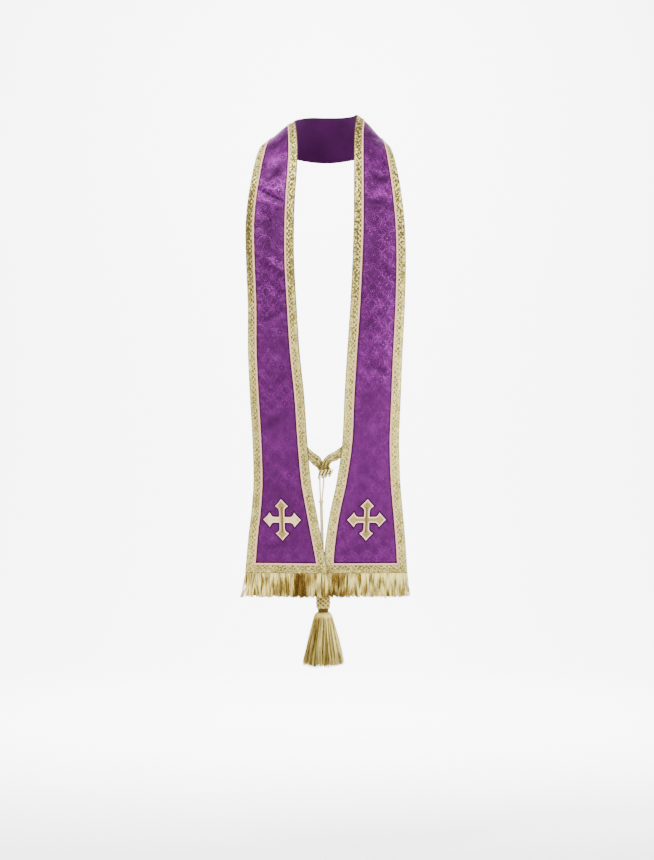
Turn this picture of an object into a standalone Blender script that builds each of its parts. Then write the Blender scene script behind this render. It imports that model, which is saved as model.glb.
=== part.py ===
"""Clerical stole in its worn form: brocade halves, galloon braid, crosses, fringe and a tassel tie.

Metres, +Z up.  The two fronts face -Y and +X is the wearer's left.  The origin is on the inner
edge of the cloth at the centre back, where the back of the neck holds the stole.  The form is
that of the cloth over a general figure: round the neck, over the shoulders and down the fronts.
"""
import math
import random
from collections import namedtuple

import bmesh
import bpy
from mathutils import Vector

MM = 0.001

# Cloth and trimmings
CLOTH = 2.0 * MM              # wall of a panel: brocade, interlining and backing
SEAM = 0.3 * MM               # space kept between pieces that are sewn together
CROWN = 3.0 * MM              # how far the middle of a panel stands out from its edges
BRAID_WIDTH = 21.0 * MM
BRAID_THICK = 1.2 * MM
MITRE_TIP = 0.4 * MM          # blunt end of a side braid at its mitre
MITRE_GAP = 0.5 * MM

# Crosses on the fronts
CROSS_WIDTH = 83.0 * MM
CROSS_HEIGHT = 88.0 * MM
CROSS_THICK = 1.5 * MM
CROSS_LIFT = 0.6 * MM
CROSS_UP = 113.0 * MM         # centre of the cross above the hem
CURVE_STEPS = 4               # facets in each curved side of a cross end

# Fringe
HEADER_HEIGHT = 4.0 * MM
FRINGE_DROP = 46.0 * MM       # strands below the header
FRINGE_STRANDS = 50           # under each front
FRINGE_INSET = 0.45 * MM
FRINGE_SWAY = 0.9 * MM
FRINGE_WAVE = 1.6 * MM
STRAND_STEPS = 2

# Tie between the fronts
ARM_THICK = 1.5 * MM
ARM_GAP = 0.7 * MM            # from the back of a panel to the arm sewn behind it
BINDING_CENTRE = Vector((-2.0, -197.0, -781.0)) * MM
BINDING_LENGTH = 31.0 * MM
BINDING_HEIGHT = 15.0 * MM
BINDING_DEPTH = 13.0 * MM
BINDING_TURNS = 5
BINDING_RIDGE = 0.12          # height of a turn as a share of the binding's radius
BINDING_TILT = math.radians(10)
BINDING_LEAN = 0.45           # how far a turn runs along the binding, per unit of height
CORD_DIAMETER = 3.0 * MM
KNOT_CENTRE = Vector((-10.0, -195.0, -841.0)) * MM
KNOT_RADIUS = 5.0 * MM        # to the middle of the ring that the cord makes
KNOT_CORD = 1.3 * MM
KNOT_HEIGHT = 3.2             # height of the knot in cord thicknesses
TASSEL_TOP = Vector((-6.0, -176.0, -1033.0)) * MM
TASSEL_SIDES = 20
TASSEL_DROP = 103.0 * MM      # skirt below the head
TASSEL_FLARE = 2.25           # radius at the foot of the skirt over its radius at the head
TASSEL_INSET = 0.5 * MM

# Mesh rows
SHOULDER_STEP = 11.0 * MM     # spacing of the rows where the cloth turns over the shoulder
FRONT_STEP = 24.0 * MM        # and down the front
SHOULDER_ROWS = 9             # sections up to here are the neck and shoulder
INNER_CELLS = 4               # cells across a panel between its two braids
HEM_ROWS = 3                  # rows of cells across the hem braid
CORD_STEP = 9.0 * MM

# A section across one half, in mm from the origin: its edge at the neck (inner) and its free edge
# (outer).  X is measured outwards, away from the other half.
Section = namedtuple("Section", "inner_x inner_y inner_z outer_x outer_y outer_z")
BACK = [
    Section(0.15, 0, 0, 0.15, 42, -95),
    Section(34, -9, -1, 53, 37, -90),
]
RIGHT_HALF = BACK + [
    Section(57, -34, -8, 95, 18, -78),
    Section(67, -66, -17, 121, -6, -62),
    Section(66, -96, -27, 132, -38, -61),
    Section(63, -125, -52, 144, -75, -76),
    Section(61, -151, -90, 152, -104, -104),
    Section(62.5, -172, -138, 160, -126, -146),
    Section(66, -184, -192, 168, -138, -198),
    Section(68, -191, -250, 172.5, -145, -254),
    Section(68, -198, -325, 171, -152, -326),
    Section(62.5, -203, -425, 167, -159, -425),
    Section(56, -208, -522, 166.5, -164, -522),
    Section(46, -211, -620, 162, -168, -620),
    Section(39.5, -213, -715, 156.5, -170, -715),
    Section(31.5, -213, -800, 154.5, -172, -800),
    Section(20.7, -211, -860, 158.5, -174, -860),
    Section(11.1, -208.5, -910, 164.5, -177, -910),
    Section(2.4, -206, -955, 168.5, -182, -955),
    Section(-3.8, -203.5, -992, 171.5, -187, -992),
]
LEFT_HALF = BACK + [
    Section(57, -33, -2, 95, 18, -79),
    Section(66, -64, -3, 126, -16, -65),
    Section(65, -94, -17, 137, -56, -69),
    Section(62, -122, -46, 145.5, -94, -91),
    Section(60.5, -146, -88, 152.5, -124, -125),
    Section(60, -163, -136, 159, -143, -165),
    Section(59.5, -174, -192, 165, -152, -211),
    Section(59, -180, -250, 169, -158, -261),
    Section(56.5, -186, -325, 170.5, -164, -330),
    Section(51.5, -192, -425, 168, -170, -426),
    Section(45, -197, -522, 163, -175, -522),
    Section(39, -201, -620, 159, -179, -620),
    Section(34.5, -203, -715, 155.5, -181, -715),
    Section(22.2, -203, -800, 158, -183, -800),
    Section(9.2, -202, -860, 163, -184, -860),
    Section(0.9, -200.5, -910, 167.5, -185, -910),
    Section(-4.1, -198.5, -955, 170.5, -187, -955),
    Section(-4.9, -196.5, -992, 172.8, -188, -992),
]

# A soft fold down one half: where it starts and ends, in mm above the hem, its place and width
# across the cloth as shares of the width, its height in mm (a trough is below zero) and how far it
# wanders across, as a share of the width.
Fold = namedtuple("Fold", "half top foot across spread height wander")
FOLDS = [
    Fold("r", 1125, 950, 0.35, 0.30, 4.5, 0.0),
    Fold("l", 1125, 950, 0.32, 0.30, 4.5, 0.0),
    Fold("r", 900, 560, 0.62, 0.16, -2.2, 0.10),
    Fold("r", 620, 250, 0.36, 0.15, 1.8, -0.08),
    Fold("r", 330, 30, 0.70, 0.13, -2.0, 0.12),
    Fold("l", 880, 600, 0.40, 0.16, -2.0, -0.10),
    Fold("l", 660, 300, 0.64, 0.15, 1.8, 0.08),
    Fold("l", 300, 40, 0.30, 0.13, -2.0, -0.10),
]

# A place of an arm of the tie, in mm: its upper and lower corner.
ArmRow = namedtuple("ArmRow", "upper_x upper_y upper_z lower_x lower_y lower_z")
# How an arm starts behind its panel: share of the width in from the inner edge, and the heights of
# its upper and lower corner above the hem.
ArmRoot = namedtuple("ArmRoot", "across upper lower")
ARM_ROOTS = [ArmRoot(0.20, 289, 266), ArmRoot(0.10, 279, 255)]
RIGHT_ARM = [
    ArmRow(-25, -205, -737, -29, -205, -761),
    ArmRow(-10, -200, -749, -18.5, -201, -769),
    ArmRow(1, -194.5, -773.3, -15.5, -194.5, -776.6),
]
LEFT_ARM = [
    ArmRow(20, -202, -733, 24, -201, -753),
    ArmRow(4, -204, -742, 13, -203, -757),
    ArmRow(-5.5, -204, -752, 5.5, -203.5, -764.5),
    ArmRow(-14, -199.5, -775.0, 5, -199.5, -772.2),
]

# Route of a hanging cord of the tie, in mm, from the binding to the tassel.
CordPoint = namedtuple("CordPoint", "x y z")
RIGHT_CORD = [
    CordPoint(-13, -196, -790.1),
    CordPoint(-12.7, -196, -808),
    CordPoint(-12, -195.5, -827),
    CordPoint(-11.7, -195, -841),
    CordPoint(-11.3, -194.5, -860),
    CordPoint(-10.3, -193, -896),
    CordPoint(-9.1, -189, -945),
    CordPoint(-8.0, -181, -995),
    CordPoint(-7.7, -176.5, -1022),
    CordPoint(-7.7, -176, -1032.5),
]
LEFT_CORD = [
    CordPoint(-4.6, -196, -789.3),
    CordPoint(-5.6, -196, -808),
    CordPoint(-7.6, -195.5, -827),
    CordPoint(-8.3, -195, -841),
    CordPoint(-7.9, -194.5, -860),
    CordPoint(-6.9, -193, -896),
    CordPoint(-5.7, -189, -945),
    CordPoint(-4.6, -181, -995),
    CordPoint(-4.3, -176.5, -1022),
    CordPoint(-4.3, -176, -1032.5),
]

# Turned head of the tassel, in mm: distance below its top, and radius.
HeadRow = namedtuple("HeadRow", "drop radius")
TASSEL_HEAD = [
    HeadRow(0, 4.5),
    HeadRow(3, 9.0),
    HeadRow(8, 13.2),
    HeadRow(15, 14.6),
    HeadRow(24, 14.6),
    HeadRow(34, 13.4),
    HeadRow(38, 11.2),
    HeadRow(42, 11.2),
    HeadRow(45, 15.0),
    HeadRow(48, 18.2),
    HeadRow(53, 19.4),
]
SKIRT_RINGS = [14.6, 9.8, 5.0]       # radii in mm of the rings that part the skirt's strands

# Colour, roughness and metallic value of each material
Finish = namedtuple("Finish", "colour roughness metallic")
FINISHES = {
    "brocade": Finish((0.20, 0.045, 0.24), 0.55, 0.0),
    "gold_braid": Finish((0.56, 0.47, 0.20), 0.45, 0.35),
    "gold_fringe": Finish((0.62, 0.48, 0.18), 0.40, 0.30),
    "gold_embroidery": Finish((0.72, 0.56, 0.34), 0.45, 0.20),
    "pale_cord": Finish((0.74, 0.68, 0.48), 0.50, 0.10),
}


def finish(name):
    """Return the material of that name, made once."""
    if name in bpy.data.materials:
        return bpy.data.materials[name]
    material = bpy.data.materials.new(name)
    material.use_nodes = True
    shader = material.node_tree.nodes["Principled BSDF"]
    shader.inputs["Base Color"].default_value = (*FINISHES[name].colour, 1.0)
    shader.inputs["Roughness"].default_value = FINISHES[name].roughness
    shader.inputs["Metallic"].default_value = FINISHES[name].metallic
    material.diffuse_color = (*FINISHES[name].colour, 1.0)
    return material


def add_mesh(name, bm, material):
    """Turn a bmesh into a named object with its material."""
    bmesh.ops.recalc_face_normals(bm, faces=bm.faces[:])
    mesh = bpy.data.meshes.new(name)
    bm.to_mesh(mesh)
    bm.free()
    mesh.shade_smooth()
    mesh.set_sharp_from_angle(angle=math.radians(40))
    mesh.materials.append(finish(material))
    part = bpy.data.objects.new(name, mesh)
    bpy.context.scene.collection.objects.link(part)
    return part


def smooth(points, knots, length):
    """Point at a length along the smooth curve through the points, whose knots are lengths."""
    last = len(points) - 2
    k = next((i for i in range(last) if length < knots[i + 1]), last)
    span = knots[k + 1] - knots[k]
    f = (length - knots[k]) / span

    def slope(i):
        low, high = max(i - 1, 0), min(i + 1, len(points) - 1)
        return (points[high] - points[low]) / (knots[high] - knots[low])

    start, end = slope(k) * span, slope(k + 1) * span
    if k == 0 and abs(points[0].x) < MM:
        start = Vector((start.x, 0, 0))      # level across the centre-back seam
    return (points[k] * (2 * f**3 - 3 * f**2 + 1) + start * (f**3 - 2 * f**2 + f)
            + points[k + 1] * (3 * f**2 - 2 * f**3) + end * (f**3 - f**2))


def running_lengths(points):
    """Lengths from the first point to each point."""
    lengths = [0.0]
    for a, b in zip(points, points[1:]):
        lengths.append(lengths[-1] + (b - a).length)
    return lengths


class Half:
    """One half of the stole, as a smooth surface through its sections.

    A place on it is a length from the centre-back seam and a share of the width from the inner
    edge (0) to the outer edge (1).
    """

    def __init__(self, name, side, rows):
        self.name = name
        self.side = side
        self.inner = [Vector((side * r.inner_x, r.inner_y, r.inner_z)) * MM for r in rows]
        self.outer = [Vector((side * r.outer_x, r.outer_y, r.outer_z)) * MM for r in rows]
        self.knots = running_lengths([(a + b) / 2 for a, b in zip(self.inner, self.outer)])
        self.length = self.knots[-1]

    def edges(self, length):
        return smooth(self.inner, self.knots, length), smooth(self.outer, self.knots, length)

    def width(self, length):
        inner, outer = self.edges(length)
        return (outer - inner).length

    def normal(self, length, across):
        """Direction out of the cloth, away from the wearer."""
        step = 2 * MM
        ahead, behind = min(length + step, self.length), max(length - step, 0.0)
        a, b = self.edges(ahead)
        c, d = self.edges(behind)
        along = a.lerp(b, across) - c.lerp(d, across)
        if behind == 0.0:
            along = Vector((along.length * self.side, 0, 0))
        inner, outer = self.edges(length)
        return along.cross(outer - inner).normalized() * self.side

    def relief(self, length, across):
        """Height of the cloth over the flat between its edges: the crown and the folds."""
        height = CROWN * 4 * across * (1 - across)
        above_hem = (self.length - length) / MM
        for fold in FOLDS:
            if fold.half != self.name or not fold.foot < above_hem < fold.top:
                continue
            share = (fold.top - above_hem) / (fold.top - fold.foot)
            place = fold.across + fold.wander * (share - 0.5)
            fade = math.sin(math.pi * share) ** 2
            height += fold.height * MM * fade * math.exp(-((across - place) / fold.spread) ** 2)
        return height

    def point(self, length, across, out=0.0):
        """Point of the outer face, moved out of the cloth by a distance."""
        inner, outer = self.edges(length)
        lift = self.relief(length, across) + out
        return inner.lerp(outer, across) + self.normal(length, across) * lift

    def rows(self):
        """Lengths of the mesh rows, the last few of them across the hem braid."""
        rows = [0.0]
        for k, (a, b) in enumerate(zip(self.knots, self.knots[1:])):
            steps = max(1, round((b - a) / (SHOULDER_STEP if k < SHOULDER_ROWS else FRONT_STEP)))
            rows += [a + (b - a) * (i + 1) / steps for i in range(steps)]
        hem = [self.length - BRAID_WIDTH * k / HEM_ROWS for k in range(HEM_ROWS, -1, -1)]
        return [r for r in rows if r < hem[0] - FRONT_STEP / 3] + hem

    def mitre(self, row):
        """Width of a side braid at a row: it narrows to a tip along its mitre at the hem."""
        left = min(1.0, (self.length - row) / BRAID_WIDTH)
        return MITRE_TIP + (BRAID_WIDTH - MITRE_TIP) * left

    def columns(self, length):
        """Shares of the width where the mesh has its lines: both braids' edges and between."""
        braid = BRAID_WIDTH / self.width(length)
        inner = [braid + (1 - 2 * braid) * k / INNER_CELLS for k in range(INNER_CELLS + 1)]
        return [0.0] + inner + [1.0]

    def layer(self, rows, columns, out):
        """Grid of points at a distance out of the cloth; columns gives the shares of each row."""
        return [[self.point(row, across, out) for across in columns(row)] for row in rows]


def shell(face, back):
    """Closed body between two grids of points; returns it with the faces of its last edge."""
    bm = bmesh.new()
    front = [[bm.verts.new(p) for p in row] for row in face]
    rear = [[bm.verts.new(p) for p in row] for row in back]
    last_row, last_column = len(front) - 1, len(front[0]) - 1
    for grid in (front, rear):
        for i in range(last_row):
            for j in range(last_column):
                a, b = grid[i][j], grid[i][j + 1]
                c, d = grid[i + 1][j + 1], grid[i + 1][j]
                bm.faces.new((a, b, c))
                bm.faces.new((a, c, d))
    foot = []
    for j in range(last_column):
        bm.faces.new((front[0][j], front[0][j + 1], rear[0][j + 1], rear[0][j]))
        foot.append(bm.faces.new((front[-1][j], front[-1][j + 1], rear[-1][j + 1], rear[-1][j])))
    for i in range(last_row):
        for j in (0, last_column):
            bm.faces.new((front[i][j], front[i + 1][j], rear[i + 1][j], rear[i][j]))
    return bm, foot


def grow_strands(bm, roots, inset, move):
    """Draw a strand out of each root face; move says where a corner goes at each step."""
    bmesh.ops.recalc_face_normals(bm, faces=bm.faces[:])
    bmesh.ops.inset_individual(bm, faces=roots, thickness=inset)
    strands = list(enumerate(roots))
    for step in range(STRAND_STEPS):
        grown = []
        for index, face in strands:
            tip = bmesh.ops.extrude_discrete_faces(bm, faces=[face])["faces"][0]
            centre = tip.calc_center_median()
            for vert in tip.verts:
                vert.co = move(index, step, vert.co.copy(), centre)
            grown.append((index, tip))
        strands = grown


def make_panel(half):
    rows = half.rows()
    bm, _ = shell(half.layer(rows, half.columns, 0.0), half.layer(rows, half.columns, -CLOTH))
    return add_mesh(f"panel_{half.name}", bm, "brocade")


def braid_layers(half, rows, columns):
    low = half.layer(rows, columns, SEAM)
    high = half.layer(rows, columns, SEAM + BRAID_THICK)
    return shell(high, low)[0]


def make_side_braid(half, place):
    """Braid along one edge, cut to a mitre at the hem."""
    def columns(row):
        reach = half.mitre(row) / half.width(row)
        return (0.0, reach) if place == "inner" else (1.0 - reach, 1.0)

    bm = braid_layers(half, half.rows(), columns)
    return add_mesh(f"braid_{place}_{half.name}", bm, "gold_braid")


def make_hem_braid(half):
    """Braid across the hem, cut to a mitre at both ends."""
    def columns(row):
        width = half.width(row)
        start = (half.mitre(row) + MITRE_GAP) / width
        corner = (BRAID_WIDTH + 2 * MITRE_GAP) / width
        return [start, corner] + half.columns(row)[2:-2] + [1.0 - corner, 1.0 - start]

    bm = braid_layers(half, half.rows()[-HEM_ROWS - 1:], columns)
    return add_mesh(f"braid_hem_{half.name}", bm, "gold_braid")


def bend(start, control, end):
    """Points along a quadratic curve, without its end."""
    points = []
    for k in range(CURVE_STEPS):
        f = k / CURVE_STEPS
        points.append(start * (1 - f) ** 2 + control * 2 * f * (1 - f) + end * f * f)
    return points


def cross_outline():
    """Outline of a cross whose four arms end in points with hollow sides, 1 across and 1 high."""
    shaft, corner, neck, barb = 0.070, 0.070, 0.205, 0.325
    spread, tip = 0.180, 0.5
    lower = [Vector((corner, -shaft, 0))]
    lower += bend(Vector((neck, -shaft, 0)), Vector((0.282, -0.068, 0)), Vector((barb, -spread, 0)))
    lower += bend(Vector((barb, -spread, 0)), Vector((0.405, -0.080, 0)), Vector((tip, 0, 0)))
    upper = [Vector((p.x, -p.y, 0)) for p in reversed(lower[1:])]
    arm = lower + [Vector((tip, 0, 0))] + upper
    outline = []
    for quarter in range(4):
        angle = quarter * math.pi / 2
        c, s = math.cos(angle), math.sin(angle)
        outline += [Vector((p.x * c - p.y * s, p.x * s + p.y * c, 0)) for p in arm]
    return outline


def make_cross(half, across):
    """Embroidered cross, laid on the panel from the panel's own points."""
    bm = bmesh.new()
    face = bm.faces.new([bm.verts.new(p) for p in cross_outline()])
    raised = bmesh.ops.extrude_face_region(bm, geom=[face])["geom"]
    for vert in (g for g in raised if isinstance(g, bmesh.types.BMVert)):
        vert.co.z = 1.0
    bmesh.ops.triangulate(bm, faces=[f for f in bm.faces if len(f.verts) > 4])
    for vert in bm.verts:
        row = half.length - CROSS_UP - vert.co.y * CROSS_HEIGHT
        share = across + vert.co.x * CROSS_WIDTH / half.width(row)
        vert.co = half.point(row, share, CROSS_LIFT + vert.co.z * CROSS_THICK)
    return add_mesh(f"cross_{half.name}", bm, "gold_embroidery")


def make_fringe(half):
    """Header strip under the hem with a row of strands."""
    shares = [k / FRINGE_STRANDS for k in range(FRINGE_STRANDS + 1)]
    down = Vector((0, 0, -1))

    def strip(out):
        edge = [half.point(half.length, share, out) for share in shares]
        return [[p + down * (SEAM + drop) for p in edge] for drop in (0.0, HEADER_HEIGHT)]

    bm, foot = shell(strip(0.0), strip(-CLOTH))
    uneven = random.Random(7 if half.name == "r" else 8)
    drops = [FRINGE_DROP + uneven.uniform(-1.2, 0.8) * MM for _ in foot]

    def move(index, step, corner, centre):
        reach = (step + 1) / STRAND_STEPS
        turn = index * 0.55 + (1.3 if half.name == "l" else 0.0)
        sway = Vector((FRINGE_SWAY * math.sin(turn), FRINGE_WAVE * math.sin(turn * 0.63), 0))
        return (centre + (corner - centre) * (1 - 0.12 * reach) + sway * (reach / STRAND_STEPS)
                + down * (drops[index] / STRAND_STEPS))

    grow_strands(bm, foot, FRINGE_INSET, move)
    return add_mesh(f"fringe_{half.name}", bm, "gold_fringe")


def make_arm(half, rows):
    """Short galloon arm of the tie, sewn behind the inner edge and led to the binding."""
    behind = -(CLOTH + ARM_GAP)
    upper = [half.point(half.length - r.upper * MM, r.across, behind) for r in ARM_ROOTS]
    lower = [half.point(half.length - r.lower * MM, r.across, behind) for r in ARM_ROOTS]
    upper += [Vector((r.upper_x, r.upper_y, r.upper_z)) * MM for r in rows]
    lower += [Vector((r.lower_x, r.lower_y, r.lower_z)) * MM for r in rows]
    knots = running_lengths([(a + b) / 2 for a, b in zip(upper, lower)])
    steps = 12
    face = []
    for k in range(steps + 1):
        length = knots[-1] * k / steps
        face.append([smooth(upper, knots, length), smooth(lower, knots, length)])
    back = [[p + Vector((0, ARM_THICK, 0)) for p in row] for row in face]
    return add_mesh(f"tie_arm_{half.name}", shell(face, back)[0], "gold_braid")


def rings_body(rings):
    """Closed body through rings of points; returns it with its vertices, ring by ring."""
    bm = bmesh.new()
    verts = [[bm.verts.new(p) for p in ring] for ring in rings]
    sides = len(rings[0])
    for low, high in zip(verts, verts[1:]):
        for k in range(sides):
            n = (k + 1) % sides
            bm.faces.new((low[k], low[n], high[n], high[k]))
    bm.faces.new(verts[0])
    bm.faces.new(verts[-1])
    return bm


def make_binding():
    """Cord wound slantwise round the ends of both arms."""
    sides, per_turn = 12, 4
    count = BINDING_TURNS * per_turn
    rings = []
    for i in range(count + 1):
        ridge = 1 - BINDING_RIDGE * (1 + math.cos(2 * math.pi * i / per_turn)) / 2
        end = min(i, count - i) / per_turn
        radius = ridge * min(1.0, 0.62 + 0.38 * end)
        ring = []
        for k in range(sides):
            angle = 2 * math.pi * k / sides
            height = radius * BINDING_HEIGHT / 2 * math.sin(angle)
            depth = radius * BINDING_DEPTH / 2 * math.cos(angle)
            along = BINDING_LENGTH * (i / count - 0.5) + BINDING_LEAN * height
            ring.append(BINDING_CENTRE + Vector((
                along * math.cos(BINDING_TILT) - height * math.sin(BINDING_TILT), depth,
                along * math.sin(BINDING_TILT) + height * math.cos(BINDING_TILT))))
        rings.append(ring)
    return add_mesh("tie_binding", rings_body(rings), "pale_cord")


def make_cord(name, route):
    points = [Vector(p) * MM for p in route]
    knots = running_lengths(points)
    steps = round(knots[-1] / CORD_STEP)
    data = bpy.data.curves.new(name, "CURVE")
    data.dimensions = "3D"
    data.bevel_depth = CORD_DIAMETER / 2
    data.bevel_resolution = 2
    data.use_fill_caps = True
    spline = data.splines.new("POLY")
    spline.points.add(steps)
    for k in range(steps + 1):
        spline.points[k].co = (*smooth(points, knots, knots[-1] * k / steps), 1.0)
    data.materials.append(finish("pale_cord"))
    cord = bpy.data.objects.new(name, data)
    bpy.context.scene.collection.objects.link(cord)
    return cord


def make_knot():
    """Small ring knot round both cords."""
    around, section = 14, 8
    bm = bmesh.new()
    grid = []
    for i in range(around):
        turn = 2 * math.pi * i / around
        row = []
        for k in range(section):
            angle = 2 * math.pi * k / section
            radius = KNOT_RADIUS + KNOT_CORD * math.cos(angle)
            row.append(bm.verts.new(KNOT_CENTRE + Vector((
                radius * math.cos(turn), radius * math.sin(turn),
                KNOT_CORD * KNOT_HEIGHT / 2 * math.sin(angle)))))
        grid.append(row)
    for i in range(around):
        for k in range(section):
            a, b = grid[i], grid[(i + 1) % around]
            n = (k + 1) % section
            bm.faces.new((a[k], b[k], b[n], a[n]))
    return add_mesh("tie_knot", bm, "pale_cord")


def make_tassel():
    """Bound head with a flared skirt of strands that grow from its underside."""
    def ring(radius, drop):
        turns = [2 * math.pi * k / TASSEL_SIDES for k in range(TASSEL_SIDES)]
        return [TASSEL_TOP + Vector((radius * math.cos(t), radius * math.sin(t), -drop)) * MM
                for t in turns]

    foot = TASSEL_HEAD[-1].drop
    rings = [ring(row.radius, row.drop) for row in TASSEL_HEAD]
    rings += [ring(radius, foot) for radius in SKIRT_RINGS]
    bm = rings_body(rings)
    floor = TASSEL_TOP.z - foot * MM
    roots = [f for f in bm.faces if len(f.verts) == 4
             and all(abs(v.co.z - floor) < MM / 100 for v in f.verts)]
    uneven = random.Random(11)
    drops = [TASSEL_DROP + uneven.uniform(-3.0, 1.0) * MM for _ in roots]
    axis = Vector((TASSEL_TOP.x, TASSEL_TOP.y, 0))

    def move(index, step, corner, centre):
        spread = 1 + (TASSEL_FLARE - 1) * (step + 1) / STRAND_STEPS
        spread /= 1 + (TASSEL_FLARE - 1) * step / STRAND_STEPS
        out = Vector((corner.x, corner.y, 0)) - axis
        drop = Vector((0, 0, corner.z - drops[index] / STRAND_STEPS))
        return axis + out * spread + drop

    grow_strands(bm, roots, TASSEL_INSET, move)
    return add_mesh("tassel", bm, "gold_fringe")


def main():
    for old in list(bpy.data.objects):
        bpy.data.objects.remove(old, do_unlink=True)
    right = Half("r", -1, RIGHT_HALF)
    left = Half("l", 1, LEFT_HALF)
    for half, across, arm in ((right, 0.524, RIGHT_ARM), (left, 0.502, LEFT_ARM)):
        make_panel(half)
        make_side_braid(half, "outer")
        make_side_braid(half, "inner")
        make_hem_braid(half)
        make_cross(half, across)
        make_fringe(half)
        make_arm(half, arm)
    make_binding()
    make_cord("tie_cord_r", RIGHT_CORD)
    make_cord("tie_cord_l", LEFT_CORD)
    make_knot()
    make_tassel()


main()
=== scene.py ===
"""Looks of the clerical stole: brocade, galloon, embroidered crosses, fringe, cords and tassel.

Metres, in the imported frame: +Z up, the fronts face -Y, +X is the wearer's left, and the origin is
on the inner edge of the cloth at the centre back.
"""
import math
from collections import namedtuple

import bpy
import numpy as np
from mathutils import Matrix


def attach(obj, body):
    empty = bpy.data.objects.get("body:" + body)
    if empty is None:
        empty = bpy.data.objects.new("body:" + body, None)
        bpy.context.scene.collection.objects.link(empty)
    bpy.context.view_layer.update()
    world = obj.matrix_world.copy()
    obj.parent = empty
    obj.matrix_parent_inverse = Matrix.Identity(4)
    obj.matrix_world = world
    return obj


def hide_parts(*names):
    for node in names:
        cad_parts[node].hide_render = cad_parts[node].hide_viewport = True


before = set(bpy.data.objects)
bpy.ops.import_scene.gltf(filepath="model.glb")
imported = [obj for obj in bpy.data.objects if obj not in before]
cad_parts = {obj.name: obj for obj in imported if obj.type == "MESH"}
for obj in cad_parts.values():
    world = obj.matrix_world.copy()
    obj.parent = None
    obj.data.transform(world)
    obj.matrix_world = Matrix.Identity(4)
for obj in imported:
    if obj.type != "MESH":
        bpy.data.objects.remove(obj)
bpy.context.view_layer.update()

MM = 0.001

# ---------------------------------------------------------------- the camera and the studio

FIGURE_SCALE = 0.00218        # metres for a pixel at the middle of the figure
FIGURE_DEPTH = -0.06          # where that scale holds
PHOTO_HEIGHT = 860            # pixels
CAMERA_DISTANCE = 4.6
CAMERA_SIDE = FIGURE_SCALE    # the stole's middle is a pixel beside the photo's
CAMERA_HEIGHT = -0.689
FLOOR_HEIGHT = -1.61          # the floor a standing wearer's shoes are on

# ---------------------------------------------------------------- sizes, as in the solids

SEAM = 0.3 * MM               # gap of a seam between two solids
CROWN = 3.0 * MM              # how far the middle of the cloth stands out over its edges
BRAID_WIDTH = 21.0 * MM
CROSS_WIDTH = 83.0 * MM
CROSS_HEIGHT = 88.0 * MM
CROSS_UP = 113.0 * MM         # its middle over the hem
CROSS_ACROSS = {"r": 0.524, "l": 0.502}      # its middle, as a share of the width
HEADER_HEIGHT = 4.0 * MM
FRINGE_DROP = 46.0 * MM
BINDING_CENTRE = np.array((-2.0, -197.0, -781.0)) * MM
BINDING_LENGTH = 31.0 * MM
BINDING_HEIGHT = 15.0 * MM
BINDING_DEPTH = 13.0 * MM
BINDING_TILT = math.radians(10)
CORD_DIAMETER = 3.0 * MM
KNOT_CENTRE = np.array((-10.0, -195.0, -841.0)) * MM
TASSEL_TOP = np.array((-6.0, -176.0, -1033.0)) * MM

# How the finished cloth is built up, out of the face of the panel
BACKING_DEPTH = 1.6 * MM      # from the brocade's face to the plain back
BRAID_BASE = 0.5 * MM
BRAID_RELIEF = 1.0 * MM
CROSS_BASE = 0.5 * MM

# Rows of each half, in mm: a place on the inner edge and the one opposite on the outer edge
Section = namedtuple("Section", "inner_x inner_y inner_z outer_x outer_y outer_z")
BACK = [
    Section(0.15, 0, 0, 0.15, 42, -95),
    Section(34, -9, -1, 53, 37, -90),
]
RIGHT_HALF = BACK + [
    Section(57, -34, -8, 95, 18, -78),
    Section(67, -66, -17, 121, -6, -62),
    Section(66, -96, -27, 132, -38, -61),
    Section(63, -125, -52, 144, -75, -76),
    Section(61, -151, -90, 152, -104, -104),
    Section(62.5, -172, -138, 160, -126, -146),
    Section(66, -184, -192, 168, -138, -198),
    Section(68, -191, -250, 172.5, -145, -254),
    Section(68, -198, -325, 171, -152, -326),
    Section(62.5, -203, -425, 167, -159, -425),
    Section(56, -208, -522, 166.5, -164, -522),
    Section(46, -211, -620, 162, -168, -620),
    Section(39.5, -213, -715, 156.5, -170, -715),
    Section(31.5, -213, -800, 154.5, -172, -800),
    Section(20.7, -211, -860, 158.5, -174, -860),
    Section(11.1, -208.5, -910, 164.5, -177, -910),
    Section(2.4, -206, -955, 168.5, -182, -955),
    Section(-3.8, -203.5, -992, 171.5, -187, -992),
]
LEFT_HALF = BACK + [
    Section(57, -33, -2, 95, 18, -79),
    Section(66, -64, -3, 126, -16, -65),
    Section(65, -94, -17, 137, -56, -69),
    Section(62, -122, -46, 145.5, -94, -91),
    Section(60.5, -146, -88, 152.5, -124, -125),
    Section(60, -163, -136, 159, -143, -165),
    Section(59.5, -174, -192, 165, -152, -211),
    Section(59, -180, -250, 169, -158, -261),
    Section(56.5, -186, -325, 170.5, -164, -330),
    Section(51.5, -192, -425, 168, -170, -426),
    Section(45, -197, -522, 163, -175, -522),
    Section(39, -201, -620, 159, -179, -620),
    Section(34.5, -203, -715, 155.5, -181, -715),
    Section(22.2, -203, -800, 158, -183, -800),
    Section(9.2, -202, -860, 163, -184, -860),
    Section(0.9, -200.5, -910, 167.5, -185, -910),
    Section(-4.1, -198.5, -955, 170.5, -187, -955),
    Section(-4.9, -196.5, -992, 172.8, -188, -992),
]

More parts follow.
